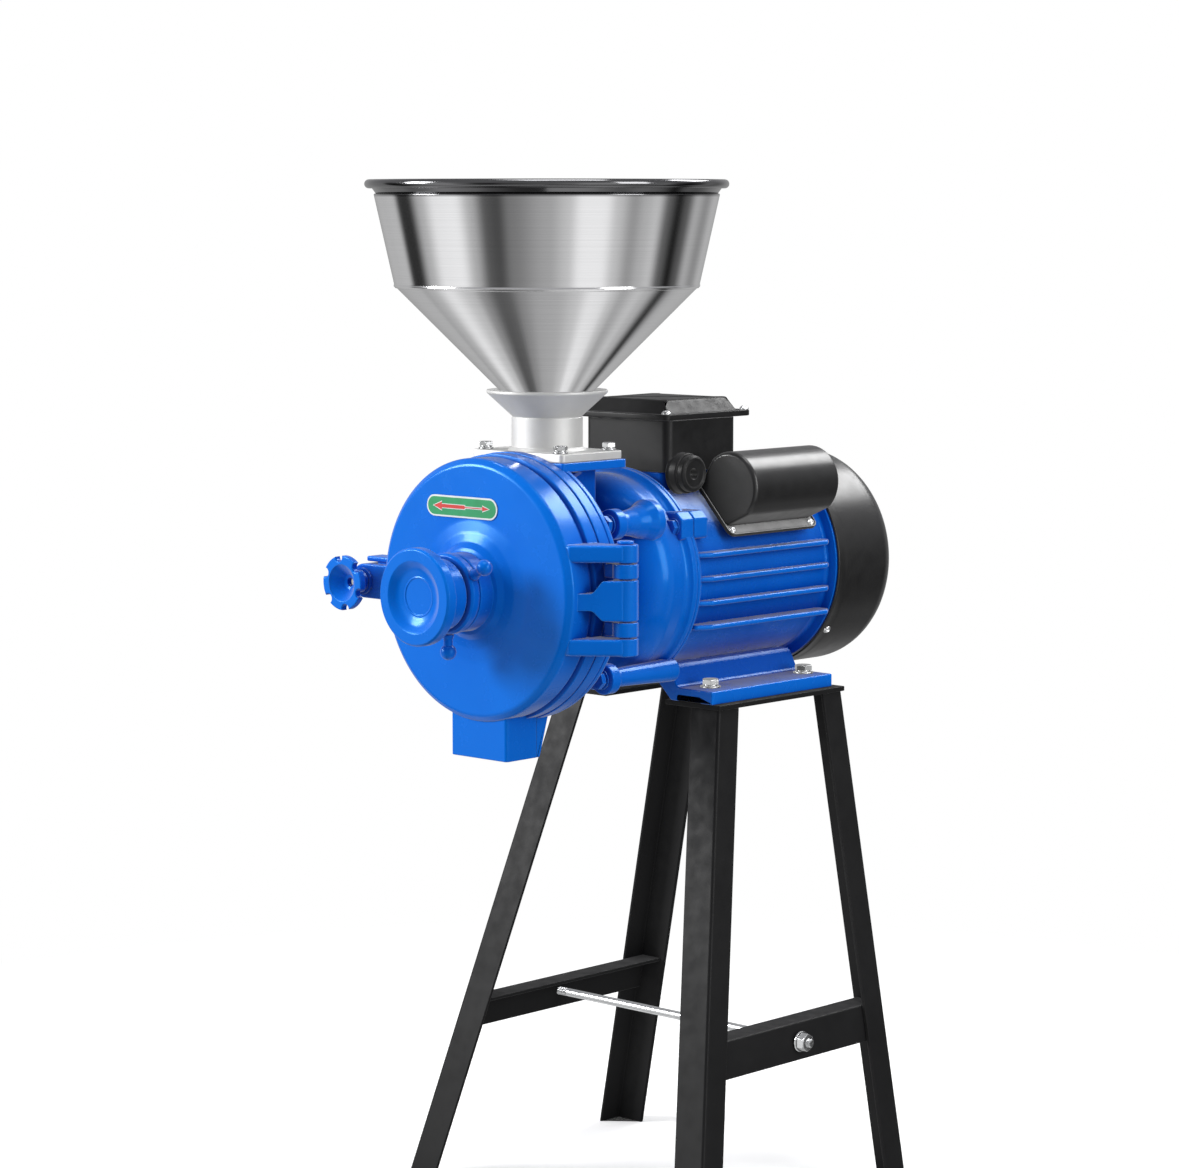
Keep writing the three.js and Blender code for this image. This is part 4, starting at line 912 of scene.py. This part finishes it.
def handwheel():
    """A dished wheel: a flat rim, a hollow face with a small disc in its middle, and a plain hub behind."""
    return spun([
        (0, -64.7), (14.2, -64.7, 0.5), (15.0, -65.4, 0.4), (16.0, -65.0, 0.8), (22, -66.6, 14),
        (26.8, -70.0, 3.0), (28.4, -71, 0.6), (36.8, -71, 0.8), (38.3, -69.4, 1.0), (38.3, -62, 1.0),
        (36.8, -60.5, 0.8), (29.5, -60.2, 1.0), (28, -52, 3), (28, -40, 1.0), (SPINDLE_BORE, -40, 0.5),
        (SPINDLE_BORE, -60.5), (0, -60.5)], 6)


def lock_ring():
    ring = spun([
        (SPINDLE_BORE, -38, 0.4), (30, -38, 1.4), (31.8, -36.2, 1.0), (31.8, -30.6, 0.8), (30.4, -30.0, 0.4),
        (30.4, -28.3, 0.3), (SPINDLE_BORE, -28.3, 0.4)])
    return cut(ring, *[pointing(rod(3.3, 23, 40, "Z"), angle) for angle in LEVER_ANGLES])


def pointing(made, angle):
    """A shape drawn up +Z on the ring, turned to point that way round the shaft."""
    return moved(turned(made, "Y", 90 - angle), y=RING_MIDDLE)


def lever(angle):
    stem = lathe([
        (0, 24), (3, 24, 0.3), (3, 32.0), (4.6, 32.2, 0.4), (4.5, 33.6, 1), (3.5, 36, 3), (3.6, 43), (0, 43)],
        "Z", steps=SMALL, arcs=4)
    return pointing(join(stem, ball(6.3, (0, 0, 46), 40)), angle)


def star_knob():
    """A thin six-lobed knob with a conical recess, a small socket in its middle and a tapering hub behind."""
    outline = []
    for middle in range(10, 370, 60):
        outline += arc(0, 0, 22.3, middle - 20, middle + 20, 10)
        notch = math.radians(middle + 30)
        outline += arc(21.4 * math.cos(notch), 21.4 * math.sin(notch), 4.0, middle - 67, middle - 233, 8)
    body = prism(outline, -14, -8, "Y", 0.9, steps=4)
    dish = lathe([
        (0, -30), (15.1, -30), (15.1, -13.8, 0.6), (6, -5.2, 2), (3.6, -4.2, 0.3), (3.6, 0.5), (0, 0.5)])
    hub = lathe([(0, -8.5), (17, -8.5, 0.5), (9.4, -1, 6), (9, 7.7, 0.8), (0, 7.7)])
    return moved(cut(join(body, hub), dish, rod(BOLT_R + GAP, 0.4, 20)), LATCH_X, 0, LATCH_Z)


def lock_bolt():
    thread = [(BOLT_R - 0.5 * (k % 2), 9 + k * 0.85) for k in range(44)]
    return lathe([(0, 0.6), (BOLT_R, 0.6), *thread, (BOLT_R - 0.8, 48), (0, 48)], "Y", (LATCH_X, LATCH_Z), SMALL)


# ---------- motor ----------

BELL_REAR = 165                        # where the bell meets the frame
SHOULDER_TURN, SHOULDER_LIFT = 42, 84  # how the capacitor leans, and its distance from the shaft
FIN_HEIGHTS = (20, 0.5, -19, -38.5)


def bell_pads(front, rear):
    """The pads where the bell and the frame are bolted together, one on each side."""
    return [prism([
        (side * 60, 32), (side * 81, 34, 3), (side * 81, 50, 3), (side * 75, 56, 2.5), (side * 58, 56)],
        front, rear, "Y", 1.4) for _, side in SIDES]


def front_bell():
    arc_outer = arc(57, 138, 28, -90, 0, 18)
    arc_inner = arc(57, 138, 21, 0, -90, 12)
    seat = [(30, 134), (23.8, 134), (23.8, 118.5), (11, 118.5)]
    shell = lathe([
        (11, 110), *arc_outer, *rounded([
            (85, 140), (83.6, 153.4, 7), (88.5, 156.4, 1.2), (88.5, 160.6, 0.5), (87.8, 161, 0.3),
            (87.8, 162, 0.3), (88.5, 162.4, 0.5), (88.5, BELL_REAR, 0.6), (78, BELL_REAR)], 4)[1:],
        *arc_inner, (30, 117), *seat], steps=FINE)
    front = EAR_REAR + GAP
    upper = rounded([
        (0, front), (9.8, front, 0.6), (9.6, 98, 8), (11.0, 108, 16), (13.5, 117, 10), (17.5, 124, 2),
        (17, 131), (0, 131)], 6)
    lower = rounded([
        (0, front), (7.9, front, 0.6), (7.5, 98, 8), (8.6, 135, 16), (9.5, 158), (9.5, 164.2), (0, 164.2)], 6)
    pillars = [lathe(upper if z > 0 else lower, "Y", (x, z)) for x, z in EAR_POINTS]
    bores = [rod(78, 140, 170, steps=FINE)]
    bores += [rod(M8_HOLE, 90, 114, "Y", point, steps=24) for point in EAR_POINTS]
    inner = lathe([(0.5, 117), *reversed(arc_inner), (78, 152), (0.5, 152)], steps=FINE)
    hub = lathe([(11, 115), (30, 115), *seat])
    return join(cut(join(shell, *pillars, *bell_pads(150, BELL_REAR)), inner, *bores), hub)


def motor_frame():
    front = BELL_REAR + GAP
    tube = spun([
        (72.5, front), (86, front, 0.6), (86, 168.6, 0.8), (80.6, 170.2, 1.5), (80, 176), (80, 331),
        (82, 334.5, 3), (89, 336.5, 0.6), (89, 343, 0.6), (72.5, 343)])
    plan = [(48, 167), (81, 167, 4), (88, 181, 4), (88, 327, 3), (82, 335), (48, 335)]
    fins = []
    for z in FIN_HEIGHTS:
        fin = prism(plan, z - 2.0, z + 2.0, "Z", 1.5, steps=4)
        fins += [fin, mirrored(fin)]
    foot = prism([
        (22, -76), (38, -70.5, 9), (48.5, -91.6, 5), (86, -91.8, 1.2), (86, FOOT_BOTTOM, 0.6),
        (73, FOOT_BOTTOM, 0.5), (73, -98.3, 1.2), (49, -98.3, 1.2), (49, FOOT_BOTTOM, 0.5),
        (41, FOOT_BOTTOM, 1.5), (22, -84)], 182, 336, "Y", 1.1)
    pad = block((-39, 174, 60), (39, 256, 84.7), 4, 1)
    shoulder = on_shoulder(block((-21, 213, -20), (21, 309, -0.4), 3, 0.8))
    bore = rod(72.5, 160, 350, steps=FINE)
    holes = [rod(M8_HOLE, -110, -85, "Z", point, steps=24) for point in FOOT_POINTS]
    return cut(join(tube, *fins, foot, mirrored(foot), pad, shoulder, *bell_pads(front, 182)), bore, *holes)


def fan_cover():
    """A pressed cup with a rolled front rim, radial slots and a shallow ring pressed round them."""
    rear = COVER_REAR
    cup = lathe([
        (90, 338.4), (90.4, 338), (91.1, 338), (91.5, 338.5), (91.5, 341.5), (91.2, 342.4), (91.2, 349),
        (91.5, 350), *arc(71.5, rear - 20, 20, 0, 90, 14), (66, rear), (65, rear - 0.8),
        (63.5, rear - 0.8), (62.5, rear), (22, rear), (20, rear - 1.2), (0, rear - 1.2), (0, rear - 2.7),
        (20, rear - 2.7), (62.5, rear - 1.6), *arc(71.5, rear - 20, 18.5, 90, 0, 12)], steps=FINE)
    slot = prism(arc(57.8, 0, 2.2, -90, 90, 6) + arc(28.2, 0, 2.2, 90, 270, 6), rear - 10, rear + 7, "Y")
    return cut(cup, *[turned(slot, "Y", -22.5 * k) for k in range(16)])


def rim_screws():
    """Small screws that hold the fan cover to the frame's rim."""
    screw = moved(turned(dome_screw(3.4, 2.2, 2), "Y", 90), 91.3, 345.5)
    return together(*[turned(screw, "Y", -angle) for angle in (-38, 52, 142, 232)])


def on_shoulder(made):
    """Sets a shape drawn on z = 0 on the frame's upper right side."""
    angle = math.radians(SHOULDER_TURN)
    return moved(turned(made, "Y", 90 - SHOULDER_TURN),
                 SHOULDER_LIFT * math.cos(angle), 0, SHOULDER_LIFT * math.sin(angle))


def hood_outline(shrink):
    return [(21 - shrink, 0), *arc(0, 25, 29 - shrink, 0, 180, 28), (-21 + shrink, 0)]


HOOD = {"half": 32, "front": 205, "rear": 317}


def hood_block(shrink, bottom, top, corner, edge=0.0):
    """A block as wide and long as the capacitor cover's flange, less the shrink all round."""
    half = HOOD["half"] - shrink
    return block((-half, HOOD["front"] + shrink, bottom), (half, HOOD["rear"] - shrink, top), corner, edge)


def capacitor_cover():
    flange = hood_block(0, 0, 2, 7, 0.7)
    lip = cut(hood_block(0, 0, 3.2, 7, 0.5), hood_block(1.2, 2, 10, 6))
    front, rear = HOOD["front"], HOOD["rear"]
    hood = prism(hood_outline(0), front + 2, rear - 2, "Y", 3.6, steps=6)
    inner = moved(prism(hood_outline(2), front + 4, rear - 4, "Y", 2), z=-0.01)
    mouth = block((-13, front + 4, -1), (13, rear - 4, 3))
    return on_shoulder(cut(join(flange, lip, hood), inner, mouth))


def hood_screws():
    spots = [(x, y) for x in (-27, 27) for y in (HOOD["front"] + 6, HOOD["rear"] - 6)]
    return on_shoulder(together(*[moved(dome_screw(3.3, 2.4, 1.5), x, y, 2.0) for x, y in spots]))


BOX_LOW, BOX_HIGH, BOX_WALL = (-46, 172, 85), (46, 258, 127), 3
GLAND_PLACE = (189, 84)
LID_BOTTOM = BOX_HIGH[2] + GAP


def terminal_box():
    outer = block(BOX_LOW, BOX_HIGH, 7, 0.6)
    (x0, y0, z0), (x1, y1, z1), wall = BOX_LOW, BOX_HIGH, BOX_WALL
    inner = block((x0 + wall, y0 + wall, z0 + wall), (x1 - wall, y1 - wall, z1 + 5), 4)
    boss = lathe([(0, 44), (17.5, 44), (16.5, 46.4, 2), (16.5, 54, 1.5), (0, 54)], "X", GLAND_PLACE)
    return cut(join(outer, boss), inner, rod(4.5, 30, 60, "X", GLAND_PLACE))


def cable_gland():
    profile = [(4.5, 54.3), (15, 54.3, 0.4), (15, 59.4, 1.6), (12.6, 61, 0.8), (10.5, 60, 1), (4.5, 59.6, 0.8)]
    return lathe(profile, "X", GLAND_PLACE)


def box_lid():
    z0 = LID_BOTTOM
    plate = block((-50, 166, z0), (50, 272, z0 + 5), 5, 1.0)
    base = box_outline(-46, 170, 46, 260, 5)
    levels = ((0, 4), (0, 5), (7.6, 14.2), (8.4, 15.2), (9.8, 15.9), (12, 16))
    roof = loft([[(a, b, z0 + height) for a, b in inset(base, shrink)] for shrink, height in levels])
    return join(plate, outward(*roof))


def lid_screws():
    spots = [(x, y) for x in (-45.6, 45.6) for y in (170.6, 267.4)]
    return together(*[moved(dome_screw(3.8, 3.2, 2), x, y, LID_BOTTOM + 5) for x, y in spots])


# ---------- assembly ----------


def bolts(name, points, bolt, twist, upright=True):
    """Numbered bolts at points, each twisted further round; they lie along Y unless upright."""
    for number, point in enumerate(points, 1):
        twisted = turned(bolt, "Z", twist * number)
        looks(f"{name}_{number}", moved(twisted if upright else turned(twisted, "X", 90), *point))


for word, side in SIDES:
    stand(word, side)
tie_rod()

looks("door", door())
looks("hinge_pin", hinge_pin())
label()
looks("casing", casing())
looks("neck", neck())
looks("hopper", hopper(), sharp=50)

bolts("flange_bolt", [(x, y, 106.8) for x, y in NECK_BOLTS], hex_bolt(3, 14, 10, 3.4, 6), 17)
bolts("ear_bolt", [(x, EAR_FRONT - GAP, z) for x, z in EAR_POINTS], hex_bolt(4, 26, 13, 4.4, 8), 23, False)
bolts("foot_bolt", [(x, y, -91.5) for x, y in FOOT_POINTS], hex_bolt(4, 9.5, 13, 4.4, 8.5), 11)
bell_screw = turned(together(washer(0.5, 7.2, 1.2), moved(hex_head(11, 4.2), z=1.1)), "X", 90)
for word, side in SIDES:
    piece(f"bell_screw_{word}", moved(bell_screw, side * 71.5, 150.4, 44), "blue_paint", "end_bell_front", False)

looks("fixed_disc", fixed_disc())
looks("moving_disc", moving_disc())
looks("disc_carrier", disc_carrier())
looks("handwheel", handwheel(), sharp=50)
looks("lock_ring", lock_ring())
for number, angle in enumerate(LEVER_ANGLES, 1):
    looks(f"lock_lever_{number}", lever(angle))
looks("star_knob", star_knob())
looks("lock_bolt", lock_bolt())

looks("end_bell_front", front_bell())
looks("motor_frame", motor_frame())
looks("fan_cover", fan_cover(), finish=BLACK_GLOSS)
piece("fan_cover_screws", rim_screws(), "zinc", "fan_cover", False)
looks("capacitor_cover", capacitor_cover(), finish=BLACK_GLOSS)
piece("capacitor_cover_screws", hood_screws(), "zinc", "capacitor_cover", False)
looks("terminal_box", terminal_box())
looks("cable_gland", cable_gland())
looks("terminal_box_lid", box_lid())
piece("lid_screws", lid_screws(), "zinc", "terminal_box_lid", False)

# The pieces inside the machine keep their CAD shape. The lock washer is painted over with the knob.
for name, node in frame["nodes"].items():
    if not node.hide_render:
        node.data.materials.clear()
        node.data.materials.append(FINISHES["blue_paint" if name == "lock_washer" else SLOT_OF[name]])
        node.visible_glossy = False

# ---------- floor and light ----------

FLOOR_R, FLOOR_FADE = 40, (0.35, 1.1)  # metres: where the floor ends, and where it turns white


def floor():
    """A pale floor that fades into the white surroundings away from the mill."""
    mesh = bpy.data.meshes.new("floor")
    corners = [(*corner, 0) for corner in arc(0, 0, FLOOR_R, 0, 356.25, 95)]
    mesh.from_pydata(corners, [], [tuple(range(96))])
    made, tree, shader = material("pale_floor", (0.9, 0.9, 0.9), 0.9, Specular_IOR_Level=0.0)
    shader.inputs["Emission Color"].default_value = (1, 1, 1, 1)
    shader.inputs["Emission Strength"].default_value = 0.22
    distance = add(tree, "VectorMath")
    distance.operation = "LENGTH"
    tree.links.new(add(tree, "TexCoord").outputs["Object"], distance.inputs[0])
    blend = add(tree, "MixShader")
    fade = remap(tree, distance.outputs["Value"], FLOOR_FADE[0], FLOOR_FADE[1], 0, 1)
    tree.links.new(fade, blend.inputs["Fac"])
    tree.links.new(shader.outputs["BSDF"], blend.inputs[1])
    tree.links.new(add(tree, "Emission").outputs["Emission"], blend.inputs[2])
    tree.links.new(blend.outputs["Shader"], tree.nodes["Material Output"].inputs["Surface"])
    mesh.materials.append(made)
    body = bpy.data.objects.new("floor", mesh)
    bpy.context.scene.collection.objects.link(body)
    body.visible_glossy = False
    body.visible_diffuse = False


def softbox(name, place, width, height, watts):
    """A rectangular lamp that faces the mill's middle."""
    data = bpy.data.lights.new(name, "AREA")
    data.shape, data.size, data.size_y, data.energy = "RECTANGLE", width, height, watts
    lamp = bpy.data.objects.new(name, data)
    lamp.location = place
    lamp.rotation_euler = (row((0, 150, 0)) - Vector(place)).to_track_quat("-Z", "Y").to_euler()
    bpy.context.scene.collection.objects.link(lamp)


# Studio surroundings as seen in reflections: brightness by azimuth from the camera, in degrees to its right.
BANDS = (
    (-180, 0.35), (-150, 0.50), (-128, 0.55), (-120, 0.03), (-110, 0.03), (-98, 0.50), (-84, 0.95), (-68, 1.0),
    (-56, 0.5), (-45, 0.10), (-36, 0.07), (-27, 0.22), (0, 0.42), (14, 0.62), (24, 1.0), (40, 1.0), (50, 0.62),
    (62, 0.34), (72, 0.50), (81, 0.62), (91, 0.12), (101, 0.01), (110, 0.10), (122, 0.45), (135, 0.30),
    (152, 0.48), (180, 0.35),
)

# The same below the horizon, for surfaces that lean far over: brightness by how far from straight down the
# direction is, negative to the camera's left.
BELOW = (
    (-0.50, 0.10), (-0.36, 0.50), (-0.24, 0.92), (-0.139, 0.60), (-0.10, 0.30), (-0.058, 0.10), (-0.035, 0.12),
    (-0.015, 0.30), (0.0, 0.45), (0.02, 0.62), (0.046, 0.94), (0.075, 0.90), (0.11, 0.60), (0.139, 0.42),
    (0.21, 0.62), (0.26, 0.50), (0.36, 0.03), (0.44, 0.20), (0.50, 0.45),
)


def arithmetic(tree, operation, *values):
    node = add(tree, "Math")
    node.operation = operation
    for socket, value in zip(node.inputs, values):
        if isinstance(value, (int, float)):
            socket.default_value = value
        else:
            tree.links.new(value, socket)
    return node.outputs["Value"]


def surroundings():
    world = bpy.data.worlds.new("studio")
    bpy.context.scene.world = world
    world.use_nodes = True
    tree = world.node_tree
    tree.nodes.clear()
    direction = add(tree, "TexCoord").outputs["Generated"]
    parts = add(tree, "SeparateXYZ")
    tree.links.new(direction, parts.inputs["Vector"])
    # azimuth measured from the direction of the camera, positive to the camera's right
    away = math.atan2(camera.location.y - ORIGIN[1], camera.location.x)
    offset = arithmetic(tree, "ARCTAN2", parts.outputs["Y"], parts.outputs["X"])
    wrapped = arithmetic(tree, "WRAP", arithmetic(tree, "SUBTRACT", offset, away), math.pi, -math.pi)
    turn = remap(tree, wrapped, -math.pi, math.pi, 0, 1)
    bands = ramp(tree, turn, [((angle + 180) / 360, grey) for angle, grey in BANDS])
    right = add(tree, "VectorMath")
    right.operation = "DOT_PRODUCT"
    tree.links.new(direction, right.inputs[0])
    right.inputs[1].default_value = (math.cos(CAMERA_TURN), math.sin(CAMERA_TURN), 0)
    sign = arithmetic(tree, "SIGN", right.outputs["Value"])
    lean = arithmetic(tree, "MULTIPLY", sign, arithmetic(tree, "ADD", parts.outputs["Z"], 1))
    below = ramp(tree, arithmetic(tree, "ADD", lean, 0.5), [(place + 0.5, grey) for place, grey in BELOW])
    bands = mix(tree, remap(tree, parts.outputs["Z"], -0.62, -0.54, 0, 1), below, bands)
    sky = mix(tree, remap(tree, parts.outputs["Z"], -0.02, 0.35, 0, 1), bands, (0.42, 0.42, 0.43))
    shown = add(tree, "LightPath")
    lit = mix(tree, shown.outputs["Is Diffuse Ray"], sky, (0.40, 0.40, 0.41))
    background = add(tree, "Background")
    tree.links.new(mix(tree, shown.outputs["Is Camera Ray"], lit, (1.0, 1.0, 1.0)), background.inputs["Color"])
    background.inputs["Strength"].default_value = 1.0
    output = add(tree, "OutputWorld")
    tree.links.new(background.outputs["Background"], output.inputs["Surface"])


bpy.context.scene.view_settings.view_transform = "Standard"
floor()
surroundings()
softbox("key", (-1.9, -2.0, 1.5), 0.9, 1.1, 75)
softbox("fill", (2.6, 0.3, 1.3), 1.0, 1.8, 28)
softbox("top", (0.3, -0.2, 3.0), 1.4, 1.4, 30)
softbox("back", (0.35, 2.2, 2.55), 1.4, 1.0, 40)
